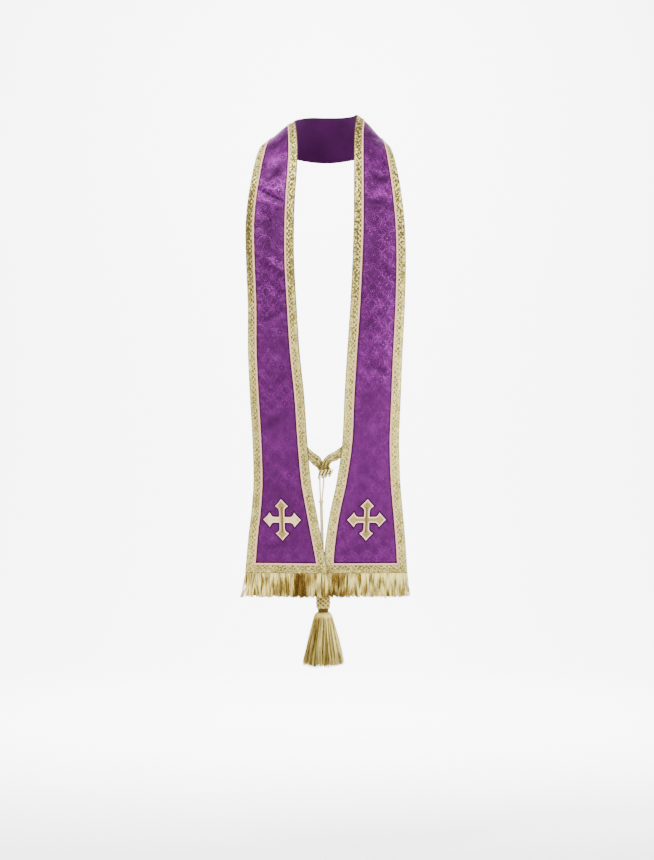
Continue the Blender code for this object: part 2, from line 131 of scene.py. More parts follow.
# A soft fold down one half: top and foot in mm above the hem, place, spread and wander as shares
# of the width, and height in mm
Fold = namedtuple("Fold", "half top foot across spread height wander")
FOLDS = [
    Fold("r", 1125, 950, 0.35, 0.30, 4.5, 0.0),
    Fold("l", 1125, 950, 0.32, 0.30, 4.5, 0.0),
    Fold("r", 900, 560, 0.62, 0.16, -2.2, 0.10),
    Fold("r", 620, 250, 0.36, 0.15, 1.8, -0.08),
    Fold("r", 330, 30, 0.70, 0.13, -2.0, 0.12),
    Fold("l", 880, 600, 0.40, 0.16, -2.0, -0.10),
    Fold("l", 660, 300, 0.64, 0.15, 1.8, 0.08),
    Fold("l", 300, 40, 0.30, 0.13, -2.0, -0.10),
]

# A short soft crease: where its middle is (mm above the hem, share of the width), which way it
# runs (degrees from straight across, rising outwards), its half length and half width in mm, and
# its height in mm (a trough is below zero)
Crease = namedtuple("Crease", "half above across angle length width height")
CREASES = [
    Crease("r", 935, 0.45, -35, 34, 7, -1.7),
    Crease("r", 890, 0.60, -20, 26, 18, 2.6),
    Crease("r", 856, 0.52, 0, 15, 12, -3.1),
    Crease("r", 820, 0.50, 12, 30, 6, 2.6),
    Crease("r", 801, 0.48, 30, 32, 5, -2.6),
    Crease("r", 790, 0.50, 24, 34, 6, 2.2),
    Crease("r", 777, 0.50, 0, 14, 6, 1.6),
    Crease("r", 742, 0.60, -18, 33, 8, -0.9),
    Crease("r", 655, 0.42, 30, 38, 9, 0.9),
    Crease("r", 540, 0.55, -26, 30, 8, -0.9),
    Crease("r", 452, 0.45, 16, 36, 10, 0.9),
    Crease("r", 318, 0.60, -32, 34, 9, -1.0),
    Crease("r", 205, 0.35, 38, 32, 8, 0.8),
    Crease("r", 60, 0.62, -12, 40, 9, -0.9),
    Crease("l", 950, 0.42, 32, 36, 7, -1.7),
    Crease("l", 915, 0.60, 26, 34, 8, 1.6),
    Crease("l", 848, 0.56, -6, 18, 10, -2.6),
    Crease("l", 806, 0.50, 22, 34, 9, 2.5),
    Crease("l", 785, 0.52, 15, 30, 7, -2.2),
    Crease("l", 760, 0.38, 24, 30, 8, 0.9),
    Crease("l", 640, 0.58, -30, 36, 9, -1.0),
    Crease("l", 560, 0.44, 18, 34, 8, 0.8),
    Crease("l", 430, 0.56, -24, 38, 10, -1.0),
    Crease("l", 300, 0.45, 30, 32, 8, 0.9),
    Crease("l", 190, 0.66, -34, 30, 8, -0.8),
    Crease("l", 52, 0.40, 10, 42, 9, -0.9),
]
PUCKER_HEIGHT = 0.28 * MM     # ripple of the brocade along its seams
PUCKER_REACH = 7.0 * MM

# Arms of the tie, in mm: roots behind the cloth, by their height above the hem, and then rows of
# the upper and the lower edge
ArmRow = namedtuple("ArmRow", "upper_x upper_y upper_z lower_x lower_y lower_z")
ArmRoot = namedtuple("ArmRoot", "across upper lower")
ARM_ROOTS = [ArmRoot(0.20, 289, 266), ArmRoot(0.10, 279, 255)]
ARM_BEHIND = 2.7 * MM         # from the cloth's face back to the middle of an arm's root
ARMS = {
    "r": [ArmRow(-25, -205, -737, -29, -205, -761),
          ArmRow(-10, -200, -749, -18.5, -201, -769),
          ArmRow(-2, -195.5, -777, -13.5, -195.5, -780)],
    "l": [ArmRow(20, -202, -733, 24, -201, -753),
          ArmRow(4, -204, -742, 13, -203, -757),
          ArmRow(-5.5, -204, -752, 8.0, -203.5, -762.5),
          ArmRow(-15, -199.5, -778, 9.0, -199.5, -776)],
}

# Middle lines of the two hanging cords, in mm
CordPoint = namedtuple("CordPoint", "x y z")
CORDS = {
    "r": [CordPoint(-13.1, -196.2, -784.5),
          CordPoint(-13, -196, -790.1),
          CordPoint(-12.7, -196, -808),
          CordPoint(-12, -195.5, -827),
          CordPoint(-11.7, -195, -841),
          CordPoint(-11.3, -194.5, -860),
          CordPoint(-10.3, -193, -896),
          CordPoint(-9.1, -189, -945),
          CordPoint(-8.0, -181, -995),
          CordPoint(-7.7, -176.5, -1022),
          CordPoint(-7.7, -176, -1032.5)],
    "l": [CordPoint(-4.2, -196.2, -783.5),
          CordPoint(-4.6, -196, -789.3),
          CordPoint(-5.6, -196, -808),
          CordPoint(-7.6, -195.5, -827),
          CordPoint(-8.3, -195, -841),
          CordPoint(-7.9, -194.5, -860),
          CordPoint(-6.9, -193, -896),
          CordPoint(-5.7, -189, -945),
          CordPoint(-4.6, -181, -995),
          CordPoint(-4.3, -176.5, -1022),
          CordPoint(-4.3, -176, -1032.5)],
}

# Turned head of the tassel, in mm: distance below its top, and radius
HeadRow = namedtuple("HeadRow", "drop radius")
TASSEL_HEAD = [
    HeadRow(0, 4.5),
    HeadRow(3, 9.0),
    HeadRow(8, 13.2),
    HeadRow(15, 14.6),
    HeadRow(24, 14.6),
    HeadRow(34, 13.4),
    HeadRow(38, 11.2),
    HeadRow(42, 11.2),
    HeadRow(45, 15.0),
    HeadRow(48, 18.2),
    HeadRow(53, 19.4),
]
TASSEL_DROP = 103.0 * MM      # length of the skirt
TASSEL_FLARE = 2.25           # width of the skirt's foot over that of its top

# ---------------------------------------------------------------- the cloth's surface


def smooth(points, knots, lengths):
    """Points at some lengths along a smooth curve through points, whose knots are lengths too."""
    k = np.clip(np.searchsorted(knots, lengths, side="right") - 1, 0, len(points) - 2)
    span = (knots[k + 1] - knots[k])[..., None]
    f = (lengths - knots[k])[..., None] / span
    slopes = np.empty_like(points)
    slopes[1:-1] = (points[2:] - points[:-2]) / (knots[2:] - knots[:-2])[:, None]
    slopes[0] = (points[1] - points[0]) / (knots[1] - knots[0])
    slopes[-1] = (points[-1] - points[-2]) / (knots[-1] - knots[-2])
    if abs(points[0, 0]) < MM:
        slopes[0, 1:] = 0.0                  # level across the centre-back seam
    start, end = slopes[k] * span, slopes[k + 1] * span
    return (points[k] * (2 * f**3 - 3 * f**2 + 1) + start * (f**3 - 2 * f**2 + f)
            + points[k + 1] * (3 * f**2 - 2 * f**3) + end * (f**3 - f**2))


def running_lengths(points):
    """Lengths from the first point to each point."""
    return np.concatenate(([0.0], np.cumsum(np.linalg.norm(np.diff(points, axis=0), axis=1))))


def unit(vectors):
    """Vectors of length 1."""
    return vectors / np.linalg.norm(vectors, axis=-1, keepdims=True)


class Half:
    """One half of the stole, as a smooth surface through its sections.

    A place on it is a length from the centre-back seam and a share of the width from the inner
    edge (0) to the outer edge (1).
    """

    def __init__(self, name, side, rows):
        self.name = name
        self.side = side
        table = np.array(rows, dtype=float) * MM
        flip = np.array((side, 1, 1))
        self.inner = table[:, :3] * flip
        self.outer = table[:, 3:] * flip
        self.knots = running_lengths((self.inner + self.outer) / 2)
        self.length = self.knots[-1]

    def edges(self, length):
        """Points of the inner and the outer edge."""
        return smooth(self.inner, self.knots, length), smooth(self.outer, self.knots, length)

    def width(self, length):
        """Distance from edge to edge."""
        inner, outer = self.edges(np.asarray(length, dtype=float))
        return np.linalg.norm(outer - inner, axis=-1)

    def normal(self, length, across):
        """Direction out of the cloth, away from the wearer."""
        step = 2 * MM
        behind = np.maximum(length - step, 0.0)
        inner, outer = self.edges(np.minimum(length + step, self.length))
        inner_behind, outer_behind = self.edges(behind)
        share = across[..., None]
        along = ((inner + (outer - inner) * share)
                 - (inner_behind + (outer_behind - inner_behind) * share))
        level = np.zeros_like(along)
        level[..., 0] = np.linalg.norm(along, axis=-1) * self.side
        along = np.where((behind == 0.0)[..., None], level, along)
        inner, outer = self.edges(length)
        return unit(np.cross(along, outer - inner)) * self.side

    def relief(self, length, across):
        """Height of the cloth over the flat between its edges: crown, folds and creases."""
        height = CROWN * 4 * across * (1 - across)
        above = (self.length - length) / MM
        for fold in FOLDS:
            if fold.half == self.name:
                share = np.clip((fold.top - above) / (fold.top - fold.foot), 0, 1)
                place = fold.across + fold.wander * (share - 0.5)
                shape = np.sin(np.pi * share) ** 2 * np.exp(-((across - place) / fold.spread) ** 2)
                height = height + fold.height * MM * shape
        return height + self.creased(length, across)

    def creased(self, length, across):
        """Height that the creases alone give the cloth."""
        height = np.zeros(np.broadcast(length, across).shape)
        above = (self.length - length) / MM
        width = self.width(length) / MM
        from_edge = np.minimum(across, 1 - across) * width
        clear = np.clip(from_edge / (BRAID_WIDTH / MM) - 0.6, 0, 1)
        for crease in CREASES:
            if crease.half == self.name:
                turn = math.radians(crease.angle)
                out, up = (across - crease.across) * width, above - crease.above
                run = (out * math.cos(turn) + up * math.sin(turn)) / crease.length
                side = (up * math.cos(turn) - out * math.sin(turn)) / crease.width
                height = height + crease.height * MM * clear * np.exp(-run**2 - side**2)
        return height

    def place(self, length, across, out=0.0):
        """Points on the outer face, moved out of the cloth by a distance."""
        length, across = np.broadcast_arrays(np.asarray(length, float), np.asarray(across, float))
        inner, outer = self.edges(length)
        lift = (self.relief(length, across) + out)[..., None]
        return inner + (outer - inner) * across[..., None] + self.normal(length, across) * lift


HALVES = [Half("r", -1, RIGHT_HALF), Half("l", 1, LEFT_HALF)]

# ---------------------------------------------------------------- numbers that shaders share


class Field:
    """A number that varies over a surface, made of Math nodes; it mixes with plain numbers."""

    def __init__(self, socket):
        self.socket = socket

    def __add__(self, other):
        return math_node("ADD", self, other)

    def __radd__(self, other):
        return math_node("ADD", other, self)

    def __sub__(self, other):
        return math_node("SUBTRACT", self, other)

    def __rsub__(self, other):
        return math_node("SUBTRACT", other, self)

    def __mul__(self, other):
        return math_node("MULTIPLY", self, other)

    def __rmul__(self, other):
        return math_node("MULTIPLY", other, self)

    def __truediv__(self, other):
        return math_node("DIVIDE", self, other)


def feed(slot, value):
    """Link an input to a Field or a colour's socket, or give it a plain number or colour."""
    if isinstance(value, Field):
        value = value.socket
    if isinstance(value, bpy.types.NodeSocket):
        slot.id_data.links.new(value, slot)
    elif isinstance(value, tuple):
        slot.default_value = (*value, 1.0)
    else:
        slot.default_value = value


def math_node(operation, *values):
    """Field that a Math node works out from Fields and plain numbers."""
    tree = next(v for v in values if isinstance(v, Field)).socket.id_data
    node = tree.nodes.new("ShaderNodeMath")
    node.operation = operation
    for slot, value in zip(node.inputs, values):
        feed(slot, value)
    return Field(node.outputs[0])


def either(operation, plain):
    """A function that works on arrays and on Fields alike."""

    def run(*values):
        if any(isinstance(v, Field) for v in values):
            return math_node(operation, *values)
        return plain(*values)

    return run


sine = either("SINE", np.sin)
cosine = either("COSINE", np.cos)
heading = either("ARCTAN2", np.arctan2)
root = either("SQRT", np.sqrt)
size = either("ABSOLUTE", np.abs)
largest = either("MAXIMUM", np.maximum)
smallest = either("MINIMUM", np.minimum)
wrap = either("WRAP", lambda v, high, low: low + (v - low) % (high - low))


def within(distance, edge):
    """1 where the distance is below zero, 0 where it is above, softly over the edge's width."""
    return smallest(largest(0.5 - distance / edge, 0.0), 1.0)


def line(distance, half_width, edge):
    """1 along a line, which lies where the distance is zero."""
    return within(size(distance) - half_width, edge)


def ripple(distance, length):
    """Sine wave of a length, -1 to 1."""
    return sine(distance * (2 * math.pi / length))


def repeat(distance, length):
    """Distance from the middle of the nearest repeat."""
    return wrap(distance, length / 2, -length / 2)


def gain(distance, start, length):
    """0 up to a start and 1 from a length beyond it."""
    return smallest(largest((distance - start) * (1 / length), 0.0), 1.0)


def far(x, y):
    """Distance from the origin."""
    return root(x * x + y * y)


# ---------------------------------------------------------------- woven patterns, in mm

DAMASK_X, DAMASK_Y = 58.0, 76.0      # repeat of the brocade
MOTIF_CLEAR = 21.8                   # radius that each motif keeps clear of the scrolls
RING_REPEAT = 35.0                   # of the lattice of rings
RING_RADIUS = 16.5
CURL_REPEAT = 9.5                    # of the curls along the brocade's stems
GALLOON_REPEAT = 11.0                # of the galloon's vine
VINE_LINE = 12.6                     # middle of the vine, from the galloon's outer edge
PINK_LINE = 16.9                     # where the pale edge line of the galloon starts

# Rings of the medallion, by radius
EYE_RADIUS = 1.7
HEART_RADIUS = 4.2
ROSE_RADIUS = 9.6                    # its eight petals swing about this one
SCALLOP_RADIUS = 14.6
GROUND_RADIUS = 17.5
RIM_RADIUS = 17.6
BEAD_RADIUS = 20.6

# A leaf of the palmette, in the first of its four quarters: its middle, half length and half
# width, and which way it points
Leaf = namedtuple("Leaf", "x y length width right up")
LEAVES = [
    Leaf(8.4, 12.0, 6.5, 2.6, 0.55, 0.84),
    Leaf(13.6, 5.2, 5.2, 2.2, 0.93, 0.37),
]


def medallion(x, y):
    """Tone of a rosette in a double ring with scallops, over its dark ground."""
    r, a = far(x, y), heading(y, x)
    tone = within(r - GROUND_RADIUS, 1.5) * -0.22
    petals = r - (ROSE_RADIUS + 2.6 * cosine(a * 8.0))
    tone = tone - within(petals, 0.8) * 0.42
    scallop = size(repeat(a, math.pi / 8)) * 15.0
    lines = largest(line(petals, 0.45, 0.5), line(r - RIM_RADIUS, 0.6, 0.5) * 0.8)
    lines = largest(lines, line(r - SCALLOP_RADIUS + scallop * scallop * 0.16, 0.35, 0.45) * 0.8)
    lines = largest(lines, line(r - HEART_RADIUS, 0.4, 0.5))
    lines = largest(lines, within(r - EYE_RADIUS, 0.6))
    bead = repeat(a, math.pi / 7) * BEAD_RADIUS
    lines = largest(lines, within(far(r - BEAD_RADIUS, bead) - 0.9, 0.6))
    return tone * (1.0 - lines) + lines


def palmette(x, y):
    """Tone of an open flower with dark petals and its leaves."""
    x, y = size(x), size(y)
    r, a = far(x, y), heading(y, x)
    petals = r - (6.4 + 2.2 * cosine(a * 6.0))
    lines = largest(line(petals, 0.45, 0.5), within(r - 2.0, 0.6))
    tone = within(petals, 0.8) * -0.65
    for leaf in LEAVES:
        along = (x - leaf.x) * leaf.right + (y - leaf.y) * leaf.up
        aside = (y - leaf.y) * leaf.right - (x - leaf.x) * leaf.up
        edge = (far(along / leaf.length, aside / leaf.width) - 1.0) * leaf.width
        vein = line(aside, 0.25, 0.4) * within(edge, 0.4)
        lines = largest(lines, largest(line(edge, 0.4, 0.45), vein))
        tone = smallest(tone, within(edge, 0.6) * -0.65)
    return tone * (1.0 - lines) + lines


def scrolls(x, y):
    """Tone of winding stems with curls and small dark leaves, between the motifs."""
    aside = size(repeat(x, DAMASK_X)) - DAMASK_X / 4
    off = aside - (ripple(y, DAMASK_Y / 2) * 3.4 + ripple(y, DAMASK_Y / 4) * 1.1)
    stem = line(off, 0.5, 0.5)
    curl = repeat(y, CURL_REPEAT)
    ring = far(size(off) - 3.4, curl)
    curls = line(ring - 2.5, 0.4, 0.5)
    ogee = aside - 9.5 * cosine(y * (4 * math.pi / DAMASK_Y))
    lines = largest(largest(stem, curls), line(ogee, 0.5, 0.5) * 0.9)
    leaves = within(far((size(off) - 3.4) / 1.5, curl / 1.9) - 0.8, 0.5) * -0.65
    return leaves * (1.0 - lines) + lines * 0.85


def foliage(x, y):
    """Tone of the small leaves that fill the ground."""
    u = x + 1.7 * ripple(y, 11.0)
    v = y + 1.7 * ripple(x, 9.7)
    leaf = ripple(u, 5.8) * ripple(v, 7.6)
    return within(0.42 - leaf, 0.35) * 0.50 - within(leaf + 0.42, 0.35) * 0.50


def lattice(x, y):
    """Tone of thin rings that cross one another, each round a dark heart."""
    lines, hearts = 0.0, 0.0
    for shift in (0.0, 0.5):
        u = repeat(x + shift * RING_REPEAT, RING_REPEAT)
        v = repeat(y + shift * RING_REPEAT, RING_REPEAT)
        r = far(u, v)
        lines = largest(lines, line(r - RING_RADIUS, 0.7, 0.6))
        lines = largest(lines, line(r - RING_RADIUS * 0.52, 0.4, 0.6) * 0.6)
        hearts = largest(hearts, within(r - RING_RADIUS * 0.36, 3.0))
    return lines * 0.60 - hearts * 0.22


def damask(x, y):
    """Tone of the brocade, -1 to 1: medallions and flowers half a repeat apart, with scrolls."""
    tone = scrolls(x, y)
    tone = tone + foliage(x, y) * (1.0 - smallest(size(tone) * 3.0, 1.0))
    for shift, motif in ((0.0, medallion), (0.5, palmette)):
        u = repeat(x + shift * DAMASK_X, DAMASK_X)
        v = repeat(y + shift * DAMASK_Y, DAMASK_Y)
        clear = within(far(u, v) - MOTIF_CLEAR, 0.5)
        tone = tone * (1.0 - clear) + motif(u, v) * clear * 0.85
    return tone


def galloon(x, y):
    """Height of the galloon's weave, 0 to 1: x from its outer edge, y along it."""
    off = x - VINE_LINE
    vine = line(off - 1.9 * ripple(y, GALLOON_REPEAT), 0.65, 0.5) * 0.95
    pits = 0.0
    for s in (1, -1):
        v = repeat(y - s * GALLOON_REPEAT / 4, GALLOON_REPEAT)
        vine = largest(vine, within(far(off - s * 2.6, v) - 0.95, 0.5))
        pits = largest(pits, within(far(off + s * 1.5, v * 0.8) - 1.35, 0.6))
    bricks = line(repeat(y + x * 0.5, 2.4), 0.7, 0.6) * line(repeat(x - y * 0.12, 2.0), 0.6, 0.5)
    body = largest(vine, bricks * 0.25 + 0.25) * (1.0 - pits)
    field = within(size(off) - 3.8, 0.5)
    plain = 0.50 + 0.08 * ripple(y, 1.8) + 0.08 * ripple(x, 2.1)
    plain = plain - line(size(off) - 4.2, 0.3, 0.4) * 0.30 - within(x - 0.9, 0.5) * 0.30
    return largest(body * field, plain * (1.0 - field))


def pink_band(x):
    """Profile of the pale edge line, 0 to 1 across its round back."""
    middle, half_width = (PINK_LINE + BRAID_WIDTH / MM) / 2, (BRAID_WIDTH / MM - PINK_LINE) / 2
    off = (x - middle) / half_width
    return largest(1.0 - off * off, 0.0)


# ---------------------------------------------------------------- materials


def shader_tree(name):
    """New material; returns it with its node tree and its Principled node."""
    material = bpy.data.materials.new(name)
    material.use_nodes = True
    return material, material.node_tree, material.node_tree.nodes["Principled BSDF"]


def flat_place(tree):
    """X and Y in mm on the flat, cut piece, from its UV map."""
    node = tree.nodes.new("ShaderNodeUVMap")
    node.uv_map = "flat"
    parts = tree.nodes.new("ShaderNodeSeparateXYZ")
    tree.links.new(node.outputs[0], parts.inputs[0])
    return Field(parts.outputs[0]) * (1 / MM), Field(parts.outputs[1]) * (1 / MM)


def attribute(tree, name):
    """Field of a number that the mesh holds for each point."""
    node = tree.nodes.new("ShaderNodeAttribute")
    node.attribute_name = name
    return Field(node.outputs["Fac"])


def noise(tree, scale, detail=2.0, stretch=None):
    """Soft noise in the object's own space, its scale in features for each metre."""
    place = tree.nodes.new("ShaderNodeTexCoord").outputs["Object"]
    if stretch:
        mapping = tree.nodes.new("ShaderNodeMapping")
        mapping.inputs["Scale"].default_value = stretch
        tree.links.new(place, mapping.inputs["Vector"])
        place = mapping.outputs[0]
    node = tree.nodes.new("ShaderNodeTexNoise")
    node.inputs["Scale"].default_value = scale
    node.inputs["Detail"].default_value = detail
    tree.links.new(place, node.inputs["Vector"])
    return Field(node.outputs["Fac"])


def blend_colours(tree, share, first, second):
    """Colour that goes from the first to the second as the share goes from 0 to 1."""
    node = tree.nodes.new("ShaderNodeMix")
    node.data_type = "RGBA"
    node.clamp_factor = True
    for name, value in (("Factor", share), ("A", first), ("B", second)):
        feed(node.inputs[name], value)
    return node.outputs["Result"]


def set_inputs(shader, inputs):
    """Link or set inputs of the Principled node, by their names."""
    for name, value in inputs.items():
        feed(shader.inputs[name], value)


def bump(tree, height, strength, distance):
    """Normal of a surface that a height from 0 to 1 makes rough."""
    node = tree.nodes.new("ShaderNodeBump")
    for name, value in (("Strength", strength), ("Distance", distance), ("Height", height)):
        feed(node.inputs[name], value)
    return node.outputs[0]


def brocade_material():
    """Purple jacquard: satin ground, raised figure of the same yarn, fine rib.

    The figure shows more over the shoulders, where the light rakes it, than low down.
    """
    material, tree, shader = shader_tree("brocade")
    x, y = flat_place(tree)
    inset = attribute(tree, "inset")
    rib = ripple(y, 0.75) * ripple(x + y, 1.5)
    cloud = noise(tree, 24.0, 3.0)
    slub = noise(tree, 260.0, 2.0, (1.0, 1.0, 0.12))
    # painted sheen: large patches where the figure and the rings stand out more
    sheen_patches = noise(tree, 11.0, 1.0)
    hang = gain(y, 380.0, 480.0)
    figure = damask(x, y) * (0.30 + sheen_patches * 1.1) * (1.5 - hang * 1.1)
    bloom = noise(tree, 70.0, 2.0)
    # painted light and shade, which the mesh holds for each point
    lie = attribute(tree, "lie")
    rings = lattice(x, y) * smallest(largest(sheen_patches * 9.0 - 3.9, 0.15), 1.0)
    figure = figure + rings * (1.2 - hang * 0.9)
    # painted sheen in the soft clouds and blooms, stronger over the shoulders; the tone is painted
    # lighter low down
    tone = figure * 0.62 + lie + (slub - 0.5) * 0.16 + (cloud - 0.5) * (0.60 - hang * 0.42)
    tone = tone + (bloom - 0.5) * (0.75 - hang * 0.52) + hang * 0.10 + 0.35
    low = blend_colours(tree, tone * 2.2, (0.026, 0.002, 0.028), (0.068, 0.0072, 0.072))
    colour = blend_colours(tree, tone * 1.8 - 0.8, low, (0.200, 0.026, 0.212))
    # painted shade: a dark line on the brocade along the galloons' inner edges and round the
    # crosses
    colour = blend_colours(tree, (3.5 - inset) * 0.6, colour, (0.016, 0.0015, 0.015))
    set_inputs(shader, {
        "Base Color": colour,
        "Roughness": 0.34 - figure * 0.08 + slub * 0.10,
        "Metallic": 0.5,
        "Specular IOR Level": 0.42,
        "Specular Tint": (0.85, 0.30, 0.90),
        "Sheen Weight": 0.12,
        "Sheen Roughness": 0.4,
        "Sheen Tint": (0.60, 0.22, 0.65),
        "Normal": bump(tree, figure * 0.6 + rib * 0.16 + slub * 0.3, 0.55, 0.35 * MM),
    })
    return material


def backing_material():
    """Plain purple satin on the side that is against the wearer."""
    material, tree, shader = shader_tree("backing")
    x, y = flat_place(tree)
    weave = ripple(x - y, 0.9)
    cloud = noise(tree, 18.0, 3.0)
    set_inputs(shader, {
        "Base Color": blend_colours(tree, cloud, (0.026, 0.0024, 0.029), (0.046, 0.0050, 0.050)),
        "Roughness": 0.6,
        "Specular IOR Level": 0.06,
        "Specular Tint": (0.85, 0.40, 0.90),
        "Sheen Weight": 0.06,
        "Sheen Tint": (0.60, 0.22, 0.65),
        "Normal": bump(tree, weave * 0.3 + cloud * 0.5, 0.4, 0.2 * MM),
    })
    return material


def galloon_material():
    """Gold galloon with its woven figures and its pale pink edge line.

    The metal threads glint in coarse specks over the shoulders and in finer ones low down, and
    the mesh says how calm they are, where they are shaded and how the light lies on them.
    """
    material, tree, shader = shader_tree("galloon")
    x, y = flat_place(tree)
    height = galloon(x, y)
    pink = pink_band(x)
    weft = ripple(x, 0.8) * ripple(y, 0.8)
    mottle = noise(tree, 420.0, 2.0)
    patch = noise(tree, 60.0, 2.0)
    glitter = noise(tree, 900.0, 1.0)
    worn = noise(tree, 150.0, 1.0)
    hang = gain(y, 300.0, 500.0)
    speck = noise(tree, 230.0, 1.0)
    fleck = noise(tree, 470.0, 1.0)
    speck = speck + (fleck - speck) * hang
    floats = ripple(x + y, 2.3) * ripple(x - y, 2.3)
    # painted glints and glitter of the metal threads, with dark specks among them
    glints = (speck - 0.5) * (2.6 - hang * 0.6) + floats * 0.20
    glints = glints * (1.0 - attribute(tree, "calm"))
    depth = (height - 0.5) * (worn * 1.8 + 0.55) * (1.15 - hang * 0.72)
    grain = glints + (mottle - 0.5) * 0.8 + (glitter - 0.5) * 0.5 + weft * 0.10
    tone = depth + grain * (1.75 - hang * 0.80) + (patch - 0.5) * (0.9 - hang * 0.3)
    # painted light and shade, which the mesh holds for each point
    tone = tone + hang * 0.06 + attribute(tree, "lie") + 0.45
    low = blend_colours(tree, tone * 2.2, (0.060, 0.044, 0.010), (0.230, 0.185, 0.046))
    gold = blend_colours(tree, tone * 1.7 - 0.75, low, (0.900, 0.775, 0.255))
    gold = blend_colours(tree, within(x - 0.9, 0.5), gold, (0.100, 0.072, 0.020))
    stitch = ripple(y, 0.9) * 0.5 + 0.5
    pale = blend_colours(tree, stitch * 0.4 + mottle * 0.3, (0.74, 0.40, 0.27), (0.50, 0.24, 0.15))
    is_pink = within(PINK_LINE - x, 0.5)
    colour = blend_colours(tree, is_pink, gold, pale)
    colour = blend_colours(tree, attribute(tree, "shade"), colour, (0.060, 0.030, 0.004))
    raised = weft * 0.18 + mottle * 0.25 + height * 0.6 + stitch * is_pink * 0.3 + pink * 0.2
    set_inputs(shader, {
        "Base Color": colour,
        "Metallic": 0.40 - is_pink * 0.40,
        "Roughness": 0.50 - tone * 0.16,
        "Specular IOR Level": 0.3,
        "Specular Tint": (0.95, 0.80, 0.45),
        "Normal": bump(tree, raised, 0.6, 0.4 * MM),
    })
    return material


def embroidery_material():
    """Satin stitch of the crosses: gold fill and a pale pink edge."""
    material, tree, shader = shader_tree("embroidery")
    x, y = flat_place(tree)
    rim, shade, run, lit = (attribute(tree, name) for name in ("rim", "shade", "run", "lit"))
    mottle = noise(tree, 500.0, 2.0)
    over = ripple(run, 0.80) * 0.5 + 0.5
    plain = ripple(size(x) + size(y), 0.95) * 0.5 + 0.5
    rows = ripple(size(x) - size(y), 3.2) * 0.5 + 0.5
    fill_tone = mottle * 0.9 + plain * 0.30 + rows * 0.22 - 0.22
    fill = blend_colours(tree, fill_tone, (0.065, 0.034, 0.006), (0.430, 0.305, 0.062))
    fill = blend_colours(tree, lit * (mottle * 0.8 + 0.6), fill, (1.000, 0.745, 0.290))
    edge = blend_colours(tree, mottle * 0.6 + over * 0.45, (0.92, 0.43, 0.34), (1.00, 0.70, 0.60))
    colour = blend_colours(tree, rim, fill, edge)
    relief = over * rim + (plain * 0.8 + rows * 0.8) * (1.0 - rim) + mottle * 0.4
    set_inputs(shader, {
        "Base Color": blend_colours(tree, shade, colour, (0.060, 0.028, 0.012)),
        "Roughness": 0.34 + mottle * 0.2,
        "Metallic": 0.15,
        "Specular IOR Level": 0.35,
        "Specular Tint": (0.95, 0.80, 0.55),
        "Normal": bump(tree, relief, 0.7, 0.25 * MM),
    })
    return material


def yarn_material(name, deep, middle, light, metallic):
    """Glossy yarn whose tone comes from the mesh: 0 deep between the yarns to 1 on their face."""
    material, tree, shader = shader_tree(name)
    grain = noise(tree, 700.0, 2.0, (1.0, 1.0, 0.16))
    tone = attribute(tree, "tone") + (grain - 0.5) * 0.7
    low = blend_colours(tree, tone * 2.0, deep, middle)
    set_inputs(shader, {
        "Base Color": blend_colours(tree, tone * 2.0 - 1.0, low, light),
        "Roughness": 0.30 + grain * 0.2,
        "Metallic": metallic,
        "Specular IOR Level": 0.35,
        "Specular Tint": (0.95, 0.82, 0.50),
        "Normal": bump(tree, grain, 0.35, 0.2 * MM),
    })
    return material


def thread_material():
    """Gold sewing thread."""
    material, tree, shader = shader_tree("thread")
    mottle = noise(tree, 800.0, 1.0)
    set_inputs(shader, {
        "Base Color": blend_colours(tree, mottle, (0.42, 0.35, 0.14), (0.70, 0.62, 0.34)),
        "Roughness": 0.5,
    })
    return material


def paper_material():
    """Pale grey paper of the studio."""
    material, tree, shader = shader_tree("studio_paper")
    grain = noise(tree, 30.0)
    set_inputs(shader, {
        "Base Color": blend_colours(tree, grain, (0.86, 0.86, 0.87), (0.88, 0.88, 0.89)),
        "Roughness": 0.9,
    })
    return material


MATERIALS = {
    "brocade": brocade_material(),
    "backing": backing_material(),
    "galloon": galloon_material(),
    "embroidery": embroidery_material(),
    "fringe": yarn_material("fringe_yarn", (0.070, 0.024, 0.002), (0.350, 0.235, 0.036),
                            (1.000, 0.900, 0.330), 0.35),
    "tassel": yarn_material("tassel_yarn", (0.050, 0.026, 0.003), (0.275, 0.192, 0.036),
                            (0.800, 0.670, 0.215), 0.35),
    "cord": yarn_material("pale_cord_yarn", (0.055, 0.032, 0.005), (0.300, 0.225, 0.055),
                          (0.860, 0.760, 0.340), 0.10),
    "thread": thread_material(),
}

# ---------------------------------------------------------------- meshes from arrays

SHARP_ANGLE = math.radians(60)       # edges that turn more than this look sharp
ROPE_STEP = 0.45 * MM                # from ring to ring along a twisted cord


def add_piece(name, node, points, faces, materials, uv=None, extra=None, second=None):
    """Object from arrays or lists that rides on the part, in place of a node if one is given.

    uv holds a flat place in metres for each point, extra the named numbers for each point, and
    second marks the faces that take the second material.
    """
    mesh = bpy.data.meshes.new(name)
    mesh.from_pydata(points.tolist(), [], faces if isinstance(faces, list) else faces.tolist())
    if uv is not None:
        corners = np.empty(len(mesh.loops), dtype=np.int32)
        mesh.loops.foreach_get("vertex_index", corners)
        mesh.uv_layers.new(name="flat").data.foreach_set("uv", uv[corners].astype("f").ravel())
    for key, values in (extra or {}).items():
        mesh.attributes.new(key, "FLOAT", "POINT").data.foreach_set("value", values.astype("f"))
    for material in materials:
        mesh.materials.append(MATERIALS[material])
    if second is not None:
        mesh.polygons.foreach_set("material_index", second.astype(np.int32))
    mesh.shade_smooth()
    mesh.set_sharp_from_angle(angle=SHARP_ANGLE)
    piece = bpy.data.objects.new(name, mesh)
    bpy.context.scene.collection.objects.link(piece)
    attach(piece, "root")
    if node:
        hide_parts(node)
    return piece


def pairs(x, y):
    """Two grids of numbers as one list of pairs."""
    return np.stack((x, y), axis=-1).reshape(-1, 2)


def round_points(radius, turn, height):
    """Points about an upright axis."""
    return np.stack(np.broadcast_arrays(radius * np.cos(turn), radius * np.sin(turn), height), -1)


